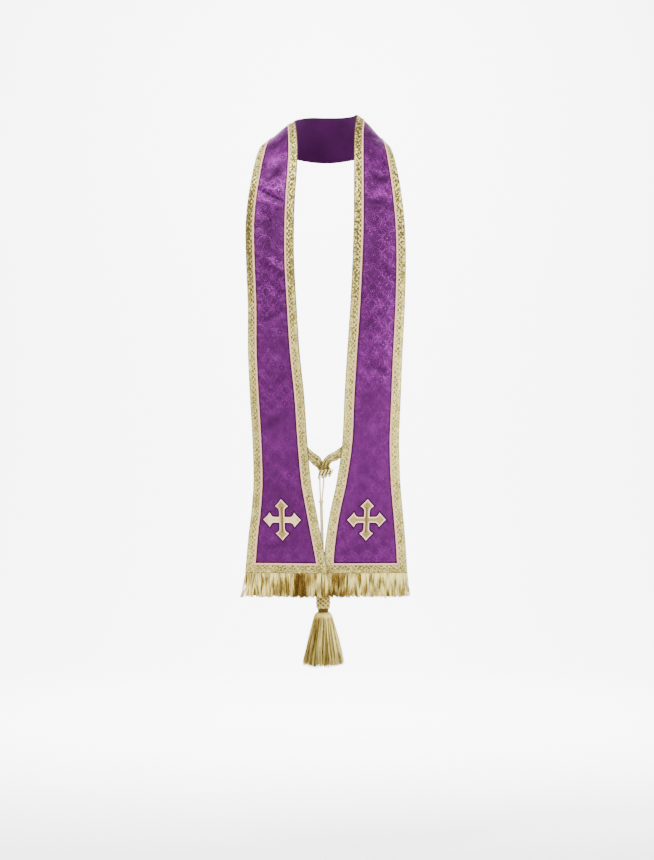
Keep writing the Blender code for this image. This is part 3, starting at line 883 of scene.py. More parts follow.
def grid_faces(rows, columns, first=0):
    """Quads of a grid of points that are numbered row by row."""
    i, j = np.meshgrid(np.arange(rows - 1), np.arange(columns - 1), indexing="ij")
    a = (first + i * columns + j).ravel()
    return np.stack((a, a + 1, a + columns + 1, a + columns), axis=1)


def ring_faces(rings, sides, turned=False):
    """Faces of a closed skin of rings, which are numbered one by one, with a cap at each end."""
    index = np.arange(rings * sides).reshape(rings, sides)
    low, high = index[:-1], index[1:]
    corners = [low, high, np.roll(high, -1, 1), np.roll(low, -1, 1)]
    caps = [index[0], index[-1, ::-1]]
    if turned:
        corners = corners[:1] + corners[:0:-1]
        caps = [cap[::-1] for cap in caps]
    return np.stack(corners, axis=-1).reshape(-1, 4).tolist() + [cap.tolist() for cap in caps]


def strip(top, turned):
    """Closed skin under a grid of points whose first and last columns lie on what carries it."""
    rows, columns = top.shape[:2]
    index = np.arange(rows * columns).reshape(rows, columns)
    floor = np.stack((index[:-1, 0], index[1:, 0], index[1:, -1], index[:-1, -1]), axis=1)
    faces = np.concatenate((grid_faces(rows, columns), floor)).tolist()
    faces += [index[0, ::-1].tolist(), index[-1].tolist()]
    if turned:
        faces = [face[::-1] for face in faces]
    return top.reshape(-1, 3), faces


def shell(top, bottom, turned):
    """Closed skin between two grids of points, with its faces and which of them are the top."""
    rows, columns = top.shape[:2]
    count = rows * columns
    upper = grid_faces(rows, columns)
    lower = grid_faces(rows, columns, count)[:, ::-1]
    index = np.arange(count).reshape(rows, columns)
    loop = np.concatenate((index[0, :-1], index[:-1, -1], index[-1, :0:-1], index[:0:-1, 0]))
    after = np.roll(loop, -1)
    rim = np.stack((after, loop, loop + count, after + count), axis=1)
    faces = np.concatenate((upper, lower, rim))
    if turned:
        faces = faces[:, ::-1]
    is_top = np.arange(len(faces)) < len(upper)
    points = np.concatenate((top.reshape(-1, 3), bottom.reshape(-1, 3)))
    return points, faces, is_top


def tubes(paths, radii, sides, reference=(0.0, 1.0, 0.0)):
    """Closed tubes along many paths of equal count; returns points and faces."""
    count, steps = paths.shape[:2]
    tangent = unit(np.gradient(paths, axis=1))
    side = unit(np.cross(tangent, np.array(reference)))
    other = np.cross(side, tangent)
    angle = 2 * np.pi * np.arange(sides) / sides
    ring = side[:, :, None] * np.cos(angle)[:, None] + other[:, :, None] * np.sin(angle)[:, None]
    points = paths[:, :, None] + ring * radii[:, :, None, None]
    index = np.arange(count * steps * sides).reshape(count, steps, sides)
    near, beyond = index[:, :-1], index[:, 1:]
    walls = np.stack((near, beyond, np.roll(beyond, -1, 2), np.roll(near, -1, 2)), axis=-1)
    caps = np.concatenate((index[:, 0], index[:, -1, ::-1]))
    return points.reshape(-1, 3), walls.reshape(-1, 4).tolist() + caps.tolist()


def add_threads(name, node, paths, radii, material, tone, body):
    """Many thin three-sided threads in one mesh with a solid body."""
    points, faces = tubes(paths, radii, 3)
    body_points, body_faces, body_tone = body
    faces += [[corner + len(points) for corner in face] for face in body_faces]
    points = np.concatenate((points, body_points))
    tones = np.concatenate((np.repeat(tone.reshape(-1), 3), body_tone))
    return add_piece(name, node, points, faces, [material], extra={"tone": tones})


def carried_sides(tangent):
    """Directions square to a path, carried along it without a twist."""
    side = np.empty_like(tangent)
    start = np.cross(tangent[0], (0.3, 0.8, 0.52))
    for k, along in enumerate(tangent):
        start = start - along * start.dot(along)
        start = start / np.linalg.norm(start)
        side[k] = start
    return side


def rope(path, radius, plies, pitch, sides=16):
    """Twisted cord along a smooth path; returns its points, faces, tone and middle line. The tone
    is painted shade, dark in the grooves between the plies.
    """
    knots = running_lengths(path)
    count = max(8, round(knots[-1] / ROPE_STEP))
    lengths = np.linspace(0.0, knots[-1], count)
    centre = smooth_path(path, knots, lengths)
    tangent = unit(np.gradient(centre, axis=0))
    side = carried_sides(tangent)
    other = np.cross(tangent, side)
    angle = 2 * np.pi * np.arange(sides) / sides
    turn = angle[None, :] - 2 * np.pi * lengths[:, None] / pitch
    groove = np.abs(np.cos(turn * plies / 2))
    reach = radius * (0.80 + 0.20 * groove)
    ends = np.minimum(np.arange(count), np.arange(count)[::-1])
    reach = reach * np.sqrt(np.clip((ends + 0.3) / 4.0, 0, 1))[:, None]
    ring = side[:, None] * np.cos(angle)[:, None] + other[:, None] * np.sin(angle)[:, None]
    points = (centre[:, None] + ring * reach[..., None]).reshape(-1, 3)
    return points, ring_faces(count, sides, True), (0.15 + 0.85 * groove).reshape(-1), centre


def add_rope(name, node, points, faces, tone):
    """Piece of twisted pale cord."""
    return add_piece(name, node, points, faces, ["cord"], extra={"tone": tone})


def read_off(table, places):
    """Values at some places, from a table of places and values."""
    return np.interp(places, *zip(*table))


def smooth_path(path, knots, lengths):
    """As smooth(), for a path in space that doesn't start at the centre-back seam."""
    away = np.array((1.0, 0.0, 0.0))
    return smooth(path + away, knots, lengths) - away


# ---------------------------------------------------------------- the pieces

BROCADE_STEP = 3.2 * MM
BROCADE_COLUMNS = 46
GALLOON_STEP = 1.0 * MM
GALLOON_COLUMNS = 24
MITRE_END = 0.25 * MM                # width of a galloon at the point of its mitre
NO_GALLOON = 99.0                    # mm to the nearest galloon, for the plain back
PATTERN_SHIFT = {"r": (-11.0, 23.0), "l": (13.0, -8.0)}      # mm, where each panel was cut

# How the satin takes the light down each panel: mm from the centre-back seam, and change of tone
CLOTH_LIGHT = {
    "r": [(190, 0.0), (225, 0.08), (262, -0.20), (322, -0.14), (355, -0.34), (388, -0.46),
          (430, -0.43), (485, -0.24), (560, -0.18), (614, -0.06), (680, -0.09), (775, 0.0),
          (870, 0.05), (903, -0.03), (1134, 0.04)],
    "l": [(225, 0.0), (322, -0.10), (355, -0.42), (400, -0.40), (452, -0.32), (550, -0.24),
          (600, -0.12), (690, -0.02), (860, 0.02), (930, 0.09), (1134, 0.04)],
}
CREASE_LIGHT = 0.17                  # painted light: change of tone for each mm of a crease, lighter on its ridge and darker in its trough
DEEPEST_CREASE = 2.5                 # mm, beyond which the tone stays

# The same for the galloons along the edges
GALLOON_LIGHT = {
    ("outer", "r"): [(110, 0.0), (190, 0.24), (240, 0.28), (290, 0.0), (330, -0.50),
                     (400, -0.62), (480, -0.34), (570, -0.08), (614, -0.02), (656, 0.12),
                     (720, 0.0), (960, 0.02), (1050, 0.10)],
    ("inner", "r"): [(270, 0.0), (330, -0.15), (400, -0.20), (500, -0.20), (571, -0.08),
                     (614, 0.0), (656, 0.09), (720, 0.08), (800, 0.05)],
    ("inner", "l"): [(130, 0.0), (190, -0.35), (230, -0.15), (271, 0.03), (357, -0.05),
                     (400, -0.15), (485, -0.12), (571, -0.04), (614, 0.06), (656, 0.13),
                     (720, 0.14), (900, 0.12), (1080, 0.20)],
    ("outer", "l"): [(120, 0.0), (200, 0.22), (271, 0.18), (314, -0.12), (400, -0.18),
                     (443, -0.12), (485, 0.03), (571, 0.06), (640, 0.14), (900, 0.13),
                     (1000, 0.10)],
}
NO_CHANGE = [(0, 0.0)]


def pattern_place(half, share, length):
    """Place in the brocade's pattern, in metres on the cut panel."""
    width = half.width(length)
    return pairs((share - 0.5) * width, length) + np.array(PATTERN_SHIFT[half.name]) * MM


def make_brocade(half):
    """Panel of brocade with its plain back."""
    length = np.linspace(0.0, half.length, round(half.length / BROCADE_STEP))[:, None]
    across = np.linspace(0.0, 1.0, BROCADE_COLUMNS)[None, :]
    length, across = np.broadcast_arrays(length, across)
    width = half.width(length)
    from_edge = np.minimum(across, 1 - across) * width - BRAID_WIDTH
    from_hem = half.length - length - BRAID_WIDTH
    beside = np.minimum(np.abs(from_edge), np.abs(from_hem) + (from_edge < 0))
    waves = (np.sin(length * 310) + 0.6 * np.sin(length * 173 + 2 * half.side)
             + 0.5 * np.sin(across * width * 290))
    pucker = PUCKER_HEIGHT * waves * np.exp(-(beside / PUCKER_REACH) ** 2)
    top = half.place(length, across, pucker)
    bottom = half.place(length, across, -BACKING_DEPTH)
    for skin in (top, bottom):
        skin[0, :, 0] = 0.0              # the two halves meet at the centre back
    points, faces, is_top = shell(top, bottom, half.side < 0)
    flat = pattern_place(half, across, length)
    inside = np.minimum(from_edge, from_hem)
    inset = np.concatenate((inside.reshape(-1) / MM, np.full(inside.size, NO_GALLOON)))
    crease = np.clip(half.creased(length, across) / MM, -DEEPEST_CREASE, DEEPEST_CREASE)
    # painted light and shade: lighter on the creases' ridges, darker in their troughs, and lighter
    # or darker down the panel
    lie = crease * CREASE_LIGHT + read_off(CLOTH_LIGHT[half.name], length / MM)
    return add_piece(f"brocade_{half.name}", f"panel_{half.name}", points, faces,
                     ["brocade", "backing"], uv=np.tile(flat, (2, 1)),
                     extra={"inset": inset, "lie": np.tile(lie.reshape(-1), 2)}, second=~is_top)


def add_galloon(name, half, length, across, x, y, turned):
    """Galloon over a grid of places, x across it and y along it, in metres."""
    fine_x, fine_y = x / MM, y / MM
    height = 0.55 * galloon(fine_x, fine_y) + 0.95 * pink_band(fine_x)
    height = BRAID_BASE + BRAID_RELIEF * height
    share = np.linspace(0.0, 1.0, GALLOON_COLUMNS)[None, :]
    height = height * np.clip(np.minimum(share, 1 - share) * (GALLOON_COLUMNS - 1), 0, 1)
    top = half.place(length, across, height)
    if name != "hem":
        top[0, :, 0] = 0.0               # the two halves meet at the centre back
    points, faces = strip(top, turned)
    # painted light and shade along the galloon
    lie = read_off(GALLOON_LIGHT.get((name, half.name), NO_CHANGE), fine_y)
    return add_piece(f"galloon_{name}_{half.name}", f"braid_{name}_{half.name}", points, faces,
                     ["galloon"], uv=pairs(x, y), extra={"lie": lie.reshape(-1)})


def make_side_galloon(half, place):
    """Galloon along one edge, mitred at the hem."""
    count = round(half.length / GALLOON_STEP)
    length = np.linspace(0.0, half.length, count)[:, None]
    reach = np.clip(half.length - length, MITRE_END, BRAID_WIDTH)
    x = np.linspace(0.0, 1.0, GALLOON_COLUMNS)[None, :] * reach
    length = np.broadcast_to(length, x.shape)
    share = x / half.width(length)
    across = share if place == "inner" else 1.0 - share
    turned = (half.side < 0) == (place == "inner")
    return add_galloon(place, half, length, across, x, length, turned)


def make_hem_galloon(half):
    """Galloon across the hem, mitred at both ends."""
    width = float(half.width(half.length))
    y = np.linspace(0.0, width, round(width / GALLOON_STEP))[:, None]
    reach = np.clip(np.minimum(y, width - y), MITRE_END, BRAID_WIDTH)
    x = np.linspace(0.0, 1.0, GALLOON_COLUMNS)[None, :] * reach
    y = np.broadcast_to(y, x.shape)
    return add_galloon("hem", half, half.length - x, y / width, x, y + half.length, half.side < 0)


STITCH_PITCH = 3.2 * MM
STITCH_LENGTH = 2.0 * MM
STITCH_RADIUS = 0.16 * MM
STITCH_LINES = (0.0019, 0.0164)      # metres from the galloon's outer edge
STITCH_ENDS = (6 * MM, 4 * MM)       # kept free at the centre back and at the hem


def make_stitches(half):
    """Rows of machine stitches that hold the galloon, as small arched threads."""
    steps = np.linspace(-0.5, 0.5, 4)
    arch = np.array((-0.25, 0.22, 0.22, -0.25)) * MM
    lift = BRAID_BASE + 0.62 * BRAID_RELIEF * 0.55 + arch
    paths = []
    for place in STITCH_LINES:
        run = np.arange(STITCH_ENDS[0], half.length - place - STITCH_ENDS[1], STITCH_PITCH)
        length = run[:, None] + steps * STITCH_LENGTH
        share = place / half.width(length)
        for across in (share, 1 - share):
            paths.append(half.place(length, across, lift))
    paths = np.concatenate(paths)
    points, faces = tubes(paths, np.full(paths.shape[:2], STITCH_RADIUS), 4, (0.2, 0.9, 0.4))
    return add_piece(f"stitching_{half.name}", None, points, faces, ["thread"])


# A cross's arm, in shares of the cross: half width of its shaft, how far from the middle of the
# cross it begins to widen, has its barbs and ends in a point, and half width at the barbs
SHAFT = 0.070
NECK, BARB, TIP = 0.205, 0.325, 0.5
BARB_WIDTH = 0.180
ARM_COLUMNS = 21
CROSS_RELIEF = 1.25                  # mm, for a height of 1
CROSS_LIT = {"r": 0.62, "l": 0.12}   # how far the threads of the level arms catch the light
CROSS_SHADOW = {"r": 0.45, "l": 0.12}        # shade along the edges to the wearer's right
RIM_WIDTH = 2.6                      # mm, the satin stitch along the edge


def bend(start, control, end, count):
    """Points along a curve that leaves its start and meets its end towards the control point."""
    f = np.linspace(0.0, 1.0, count)[:, None]
    start, control, end = (np.array(p) for p in (start, control, end))
    return start * (1 - f) ** 2 + control * 2 * f * (1 - f) + end * f * f


def arm_profile():
    """Outline of one arm: distance along it and half width, from the crossing to the tip."""
    straight = np.stack((np.linspace(SHAFT, NECK, 14), np.full(14, SHAFT)), axis=1)
    out = bend((NECK, SHAFT), (0.282, 0.068), (BARB, BARB_WIDTH), 15)
    back = bend((BARB, BARB_WIDTH), (0.405, 0.080), (TIP, 0.002), 19)
    return np.concatenate((straight, out[1:], back[1:]))


def quarter_turns(x, y):
    """Places turned by no, one, two and three quarters of a turn."""
    for quarter in range(4):
        c, s = math.cos(quarter * math.pi / 2), math.sin(quarter * math.pi / 2)
        yield x * c - y * s, x * s + y * c


def cross_outline():
    """Closed outline of the cross in mm."""
    profile = arm_profile()
    arm = np.concatenate((profile * (1, -1), profile[::-1]))
    turns = [np.stack(turn, axis=1) for turn in quarter_turns(arm[:, 0], arm[:, 1])]
    return np.concatenate(turns) * (CROSS_WIDTH / MM, CROSS_HEIGHT / MM)


def cross_patches():
    """Grids of places that fill a cross, in shares of its size: four arms and the crossing."""
    profile = arm_profile()
    along = np.repeat(profile[:, :1], ARM_COLUMNS, axis=1)
    side = profile[:, 1:] * np.linspace(-1.0, 1.0, ARM_COLUMNS)
    square = np.linspace(-SHAFT, SHAFT, ARM_COLUMNS)
    return [*quarter_turns(along, side), np.meshgrid(square, square, indexing="xy")]


def cross_seams(x, y, deep):
    """Depth, 0 to 1, of the seams where the rows of stitches meet along the middle of the arms."""
    upright = np.exp(-((x + 0.9) / 1.7) ** 2) * (np.abs(y) < 27)
    level = np.exp(-(y / 0.6) ** 2) * (np.abs(x) < 24) * 0.45
    return np.maximum(upright, level) * np.clip(deep - RIM_WIDTH * 0.6, 0, 1)


def cross_height(deep):
    """Height of the embroidery at a distance inside its edge: a round rim and a fuller middle."""
    rim = np.sqrt(np.clip(1 - (1 - deep / (RIM_WIDTH / 2)) ** 2, 0, 1))
    fill = 0.62 + 0.30 * np.clip((deep - RIM_WIDTH) / 4.0, 0, 1)
    return np.where(deep < RIM_WIDTH, 0.30 + 0.75 * rim, fill)


def cross_marks(half, x, y, deep, seams, outline):
    """Numbers that the embroidery's shader reads, at places in mm."""
    rim = np.clip((RIM_WIDTH - deep) / 0.6 + 0.5, 0, 1)
    lean = edge_distance(x + 0.3, y, outline) - edge_distance(x - 0.3, y, outline)
    shadow = np.clip(lean * half.side / 0.6, 0, 1) * CROSS_SHADOW[half.name] * rim
    foot = np.clip((0.55 - deep) / 0.35, 0, 1) * 0.85
    level_arm = np.clip((np.abs(x) - np.abs(y)) / 5.0, 0, 1)
    level_arm = level_arm * np.clip((40.0 - np.abs(x)) / 10.0, 0.3, 1)
    return {"rim": rim, "shade": np.maximum(np.maximum(seams * 0.9, shadow), foot),
            "run": outline_run(x, y, outline), "lit": CROSS_LIT[half.name] * level_arm}


def make_cross(half):
    """Embroidered cross: four arms and the crossing, with a raised pale edge round a gold fill."""
    outline = cross_outline()
    points, faces, flat = [], [], []
    marks = {"rim": [], "shade": [], "run": [], "lit": []}
    first = 0
    for x, y in cross_patches():
        mm_x, mm_y = x * CROSS_WIDTH / MM, y * CROSS_HEIGHT / MM
        deep = edge_distance(mm_x, mm_y, outline)
        seams = cross_seams(mm_x, mm_y, deep)
        height = cross_height(deep) - 0.45 * seams
        row = half.length - CROSS_UP - y * CROSS_HEIGHT
        share = CROSS_ACROSS[half.name] + x * CROSS_WIDTH / half.width(row)
        top = half.place(row, share, CROSS_BASE + height * CROSS_RELIEF * MM)
        bottom = half.place(row, share, 0.1 * MM)
        patch_points, patch_faces, _ = shell(top, bottom, half.side > 0)
        points.append(patch_points)
        faces.append(patch_faces + first)
        first += len(patch_points)
        flat += [pairs(mm_x * MM, mm_y * MM)] * 2
        for name, values in cross_marks(half, mm_x, mm_y, deep, seams, outline).items():
            marks[name] += [values.reshape(-1)] * 2
    return add_piece(f"embroidered_cross_{half.name}", f"cross_{half.name}",
                     np.concatenate(points), np.concatenate(faces),
                     ["embroidery"], uv=np.concatenate(flat),
                     extra={name: np.concatenate(values) for name, values in marks.items()})


HALO_WIDTH = 4.2                     # mm, the shaded cloth beside the raised embroidery
HALO_STEP = 0.9


def make_halo(half):
    """Brocade close round the cross, drawn in and shaded by the satin stitch."""
    outline = cross_outline()
    reach = CROSS_HEIGHT / MM / 2 + HALO_WIDTH
    side = np.arange(-reach, reach + HALO_STEP, HALO_STEP)
    x, y = np.meshgrid(side, side, indexing="xy")
    deep = edge_distance(x, y, outline)
    inside = in_outline(x, y, outline)
    row = half.length - CROSS_UP - y * MM
    share = CROSS_ACROSS[half.name] + x * MM / half.width(row)
    points = half.place(row, share, np.where(inside, 0.3, 0.40 - 0.30 * deep / HALO_WIDTH) * MM)
    faces = grid_faces(len(side), len(side))
    near = np.where(inside, 0.0, deep).reshape(-1)
    faces = faces[near[faces].max(axis=1) < HALO_WIDTH]
    if half.side < 0:
        faces = faces[:, ::-1]
    return add_piece(f"cross_ground_{half.name}", None, points.reshape(-1, 3), faces,
                     ["brocade"], uv=pattern_place(half, share, row), extra={"inset": near})


def outline_run(x, y, outline):
    """Length in mm along the outline to the place on it that is nearest."""
    ring = np.concatenate((outline, outline[:1]))
    steps = np.linalg.norm(np.diff(ring, axis=0), axis=1)
    marks = np.concatenate(([0.0], np.cumsum(steps)))
    fine = np.arange(0.0, marks[-1], 0.15)
    spots = np.stack([np.interp(fine, marks, places) for places in ring.T], axis=1)
    away = ((np.stack((x, y), axis=-1)[..., None, :] - spots) ** 2).sum(axis=-1)
    return fine[away.argmin(axis=-1)]


def in_outline(x, y, outline):
    """Whether places lie inside a closed outline."""
    inside = np.zeros(x.shape, dtype=bool)
    for (ax, ay), (bx, by) in zip(outline, np.roll(outline, -1, axis=0)):
        if ay != by:
            crosses = (ay > y) != (by > y)
            inside ^= crosses & (x < (bx - ax) * (y - ay) / (by - ay) + ax)
    return inside


def edge_distance(x, y, outline):
    """Distance in mm from places to the nearest side of an outline."""
    start, end = outline, np.roll(outline, -1, axis=0)
    run = end - start
    long = np.maximum((run**2).sum(axis=1), 1e-9)
    place = np.stack((x, y), axis=-1)[..., None, :]
    f = np.clip(((place - start) * run).sum(axis=-1) / long, 0, 1)
    near = start + run * f[..., None]
    return np.sqrt(((place - near) ** 2).sum(axis=-1)).min(axis=-1)


FRINGE_LOCKS = 52
LOCK_YARNS = 34
CORE_RIBS = 420
CORE_ROWS = 6
FRINGE_POINTS = 9
FRINGE_SEEDS = {"r": 21, "l": 22}
FRINGE_RADIUS = 0.30 * MM
FRINGE_ROOT = 2.5 * MM               # how far the yarns reach up inside the hem
HALF_FRINGE = 1.0 * MM               # half its depth, front to back
CORNER_LEAN = {"r": 7.0, "l": 0.5}   # mm that the free corner's locks lean outwards
CORNER_START = 0.86                  # share of the width where that begins
PARTING_WIDTH = 0.07                 # share of the width

# Where the locks lean away from one another: share of the width, and how far they lean in mm
Parting = namedtuple("Parting", "half across lean")
PARTINGS = [
    Parting("r", 0.34, 5.0),
    Parting("r", 0.62, 2.6),
    Parting("r", 0.90, 3.0),
    Parting("l", 0.14, 5.0),
    Parting("l", 0.47, 2.2),
    Parting("l", 0.78, 2.8),
]

# How bright the fringe is painted along the hem, with painted shade where the locks part and at the
# inner end: share of the width from the inner edge, and tone
FRINGE_LIGHT = {
    "r": [(0.0, 0.02), (0.02, 0.85), (0.19, 0.85), (0.24, 0.55), (0.29, 0.18), (0.39, 0.10),
          (0.43, 0.85), (0.52, 0.85), (0.60, 0.66), (0.68, 0.66), (0.76, 0.95), (1.0, 1.05)],
    "l": [(0.0, 0.10), (0.04, 0.30), (0.08, 0.75), (0.12, 0.14), (0.22, 0.12), (0.28, 0.90),
          (0.52, 1.0), (0.58, 0.75), (0.66, 1.0), (1.0, 1.05)],
}

# How the locks of the fringe hang: middle is a share of the hem's width, and lean, bow and forward
# are in mm. drift changes slowly from lock to lock. curl is the number of the bow's half waves,
# spread a lock's width in metres, and taper the share of it that is lost on the way down.
Locks = namedtuple("Locks", "middle lean drift bow curl forward spread taper")

# Below, lock holds the number of each yarn's lock, and f the shares of the way down the yarns.


def for_yarns(values, lock):
    """Numbers of the locks, as a column with a row for each yarn."""
    return values[lock][:, None]


def by_lock(draw, lock, *limits):
    """Random numbers, one for each lock, as a column with a row for each yarn."""
    return for_yarns(draw(*limits, lock[-1] + 1), lock)


def fringe_locks(half, width, random):
    """Locks of the fringe, drawn at random about the partings and the free corner."""
    middle = np.arange(FRINGE_LOCKS) + 0.5 + random.uniform(-0.3, 0.3, FRINGE_LOCKS)
    middle = middle / FRINGE_LOCKS
    lean = random.normal(0.0, 2.0, FRINGE_LOCKS)
    drift = random.normal(0.0, 1.0, FRINGE_LOCKS + 4)
    drift = np.convolve(drift, np.ones(5) / math.sqrt(5), "valid")
    lean = lean + 1.8 * drift
    for parting in PARTINGS:
        if parting.half == half.name:
            away = middle - parting.across
            fading = np.exp(-np.abs(away) / PARTING_WIDTH)
            lean = lean + np.sign(away) * parting.lean * fading * 0.6
    corner = np.clip(middle - CORNER_START, 0, 1) / (1 - CORNER_START)
    lean = np.minimum(lean + corner * CORNER_LEAN[half.name], CORNER_LEAN[half.name] + 1.5)
    return Locks(middle, lean, drift,
                 bow=random.normal(0.0, 1.9, FRINGE_LOCKS),
                 curl=random.uniform(0.8, 1.9, FRINGE_LOCKS),
                 forward=random.uniform(-0.9, 1.4, FRINGE_LOCKS),
                 spread=width / FRINGE_LOCKS * random.uniform(0.65, 1.0, FRINGE_LOCKS),
                 taper=random.uniform(-0.2, 0.32, FRINGE_LOCKS))


def lock_section(lock, f, random):
    """Place of each yarn in its turning lock, -1 to 1 sideways and forwards."""
    u = random.uniform(-1, 1, (len(lock), 1))
    v = random.uniform(-1, 1, (len(lock), 1)) * np.sqrt(1 - u * u * 0.9)
    twist = by_lock(random.normal, lock, 0.0, 0.6) * f
    sideways = u * np.cos(twist) - v * np.sin(twist) * 0.4
    forwards = v * np.cos(twist) + u * np.sin(twist) * 0.4
    return sideways, forwards


def fringe_offsets(locks, lock, f, section, random):
    """How far each yarn goes along the hem, out and down, in metres."""
    count = len(lock)
    yarns = Locks(*(for_yarns(values, lock) for values in locks))
    hold = 1 - yarns.taper * f**0.8
    crimp = np.sin(2 * np.pi * (f * random.uniform(1.2, 2.4, (count, 1))
                                + random.uniform(0, 1, (count, 1)))) * np.minimum(4 * f, 1)
    sideways = ((yarns.lean * f**1.3 + yarns.bow * np.sin(np.pi * f * yarns.curl)) * MM
                + section[0] * yarns.spread * (0.75 + 0.25 * f) * hold
                + crimp * 0.32 * MM + random.normal(0, 0.5, (count, 1)) * MM * f)
    out = ((yarns.forward * np.sin(np.pi * f * 0.75) + 0.2) * MM
           + section[1] * HALF_FRINGE * (0.5 + 0.8 * f))
    out = np.minimum(out, 0.4 * MM + 2.4 * MM * f)
    out = np.where(f == 0, np.minimum(out, -0.5 * MM), out)
    down = (HEADER_HEIGHT + FRINGE_DROP + by_lock(random.normal, lock, 0, 0.7) * MM
            + random.normal(0, 0.6, (count, 1)) * MM) * f
    return sideways, out, down


def fringe_tone(half, locks, lock, f, section, random):
    """Tone of the yarns: painted light along the hem, painted shade on the sides and the back of
    each lock, waves down the locks and darker ends.
    """
    bright = read_off(FRINGE_LIGHT[half.name], locks.middle)
    bright = bright + random.uniform(-0.30, 0.30, FRINGE_LOCKS) + 0.07 * np.roll(locks.drift, 2)
    edges = 1 - 0.45 * np.abs(section[0]) ** 3
    tone = for_yarns(bright, lock) * (0.85 + 0.35 * section[1]) * edges
    phase = 0.3 * np.cumsum(random.normal(0, 0.6, FRINGE_LOCKS)) + 0.12 * locks.drift
    waves = f * by_lock(random.uniform, lock, 0.6, 1.3) + for_yarns(phase, lock)
    tone = tone * (1 + 0.45 * np.sin(2 * np.pi * waves)) + random.normal(0, 0.19, (len(lock), 1))
    ends = for_yarns(np.clip(0.45 + 0.55 * np.roll(locks.drift, 5), 0, 1), lock)
    tone = tone - 0.45 * ends * np.clip((f - 0.62) / 0.38, 0, 1)
    return np.clip(np.where(f < 0.1, 0.5 * tone + 0.30, tone), 0, 1)


def fringe_core(half, random):
    """Inner yarns of the fringe, as one ribbed curtain behind the locks, dark as painted shade in
    the fringe's depth.
    """
    share = np.linspace(0.004, 0.996, CORE_RIBS)[None, :]
    f = np.linspace(0.0, 1.0, CORE_ROWS)[:, None]
    rib = random.uniform(0, 1, (1, CORE_RIBS))
    drop = (HEADER_HEIGHT + FRINGE_DROP + random.normal(-2.0, 0.8, (1, CORE_RIBS)) * MM) * f
    back = (1.0 + 0.6 * rib) * MM + 0 * f
    front = half.place(half.length, share) + np.stack((0 * back, back, -drop - SEAM), axis=-1)
    points, faces, _ = shell(front, front + (0, 0.5 * MM, 0), half.side < 0)
    tone = np.clip(random.normal(0.16, 0.12, (1, CORE_RIBS)) + 0.12 * f, 0, 1).reshape(-1)
    return points, faces.tolist(), np.concatenate((tone, tone))


def make_fringe(half):
    """Straight fringe: locks of bright yarns that lean and curl, over darker ones."""
    random = np.random.default_rng(FRINGE_SEEDS[half.name])
    width = float(half.width(half.length))
    f = np.linspace(0.0, 1.0, FRINGE_POINTS)[None, :]
    lock = np.repeat(np.arange(FRINGE_LOCKS), LOCK_YARNS)
    locks = fringe_locks(half, width, random)
    section = lock_section(lock, f, random)
    sideways, out, down = fringe_offsets(locks, lock, f, section, random)
    tone = fringe_tone(half, locks, lock, f, section, random)
    along = for_yarns(locks.middle, lock) + sideways / width
    held = np.clip(along, 0.003, 0.997)
    edge = half.place(half.length, held)
    beyond = (along - held) * width * half.side * np.minimum(1, 4 * f)
    root = np.where(f == 0, -FRINGE_ROOT, SEAM)
    paths = edge + np.stack((beyond, -out, -down - root), axis=-1)
    radii = FRINGE_RADIUS * (1.0 - 0.2 * f) * random.uniform(0.8, 1.2, (len(lock), 1))
    return add_threads(f"fringe_yarns_{half.name}", f"fringe_{half.name}", paths, radii, "fringe",
                       tone, fringe_core(half, random))


ARM_INSET = 1.6                      # mm from the galloon's outer edge, where its pattern starts
ARM_SEEN = 6.0                       # mm of the pattern that an arm shows, beside the vine
ARM_DEPTH = 1.0 * MM
ARM_CUP = 1.6 * MM                   # how far an arm's edges curl back near the binding
ARM_CALM = 0.75                      # share of the flat galloon's glints that an arm lacks


def make_arm(half):
    """Galloon arm of the tie."""
    roots = [half.place(half.length - r.upper * MM, r.across, -ARM_BEHIND) for r in ARM_ROOTS]
    feet = [half.place(half.length - r.lower * MM, r.across, -ARM_BEHIND) for r in ARM_ROOTS]
    rows = np.array(ARMS[half.name], dtype=float) * MM
    upper = np.concatenate((np.array(roots), rows[:, :3]))
    lower = np.concatenate((np.array(feet), rows[:, 3:]))
    knots = running_lengths((upper + lower) / 2)
    lengths = np.linspace(0.0, knots[-1], round(knots[-1] / GALLOON_STEP))
    upper, lower = smooth_path(upper, knots, lengths), smooth_path(lower, knots, lengths)
    share = np.linspace(0.0, 1.0, GALLOON_COLUMNS)[None, :]
    x = np.broadcast_to((ARM_INSET + ARM_SEEN * share) * MM, (len(lengths), GALLOON_COLUMNS))
    y = np.broadcast_to(lengths[:, None], x.shape)
    base = upper[:, None] * (1 - share[..., None]) + lower[:, None] * share[..., None]
    out = unit(np.cross(np.gradient(base, axis=0), (lower - upper)[:, None]))
    out = out * np.sign(-out[..., 1:2])
    height = BRAID_RELIEF * 0.55 * galloon(x / MM, y / MM)
    cup = ARM_CUP * (2 * share - 1) ** 2 * np.clip(y / knots[-1] - 0.2, 0, 1)
    top = base + out * (height - cup)[..., None]
    bottom = base - out * (ARM_DEPTH + cup)[..., None]
    points, faces, _ = shell(top, bottom, half.side < 0)
    gather = np.clip(y / knots[-1] * 2.0 - 0.85, 0, 1)
    crease = 0.5 + 0.5 * np.sin(share * 17.0 + 2.0 * y / knots[-1])
    drape = np.clip(share * 2.2 - 1.1, 0, 1) * 0.5
    shade = (gather * (0.35 + 0.50 * crease + drape) + 0.30 * (share > 0.93)).reshape(-1)
    return add_piece(f"galloon_arm_{half.name}", f"tie_arm_{half.name}", points, faces,
                     ["galloon"], uv=np.tile(pairs(x, y), (2, 1)),
                     extra={"shade": np.tile(shade, 2), "calm": np.full(len(points), ARM_CALM)})


BINDING_TURNS = 4.0
BINDING_CORD = 1.95 * MM
BINDING_LEAN = 0.45                  # how the turns slant, as along over height
CORE_INSIDE = 2.4 * BINDING_CORD * 0.8       # from the binding's outside to its core


def binding_points(along, depth, height):
    """Points of the tilted binding, from places along it, behind its middle and above it."""
    c, s = math.cos(BINDING_TILT), math.sin(BINDING_TILT)
    return BINDING_CENTRE + np.stack((along * c - height * s, depth, along * s + height * c), -1)


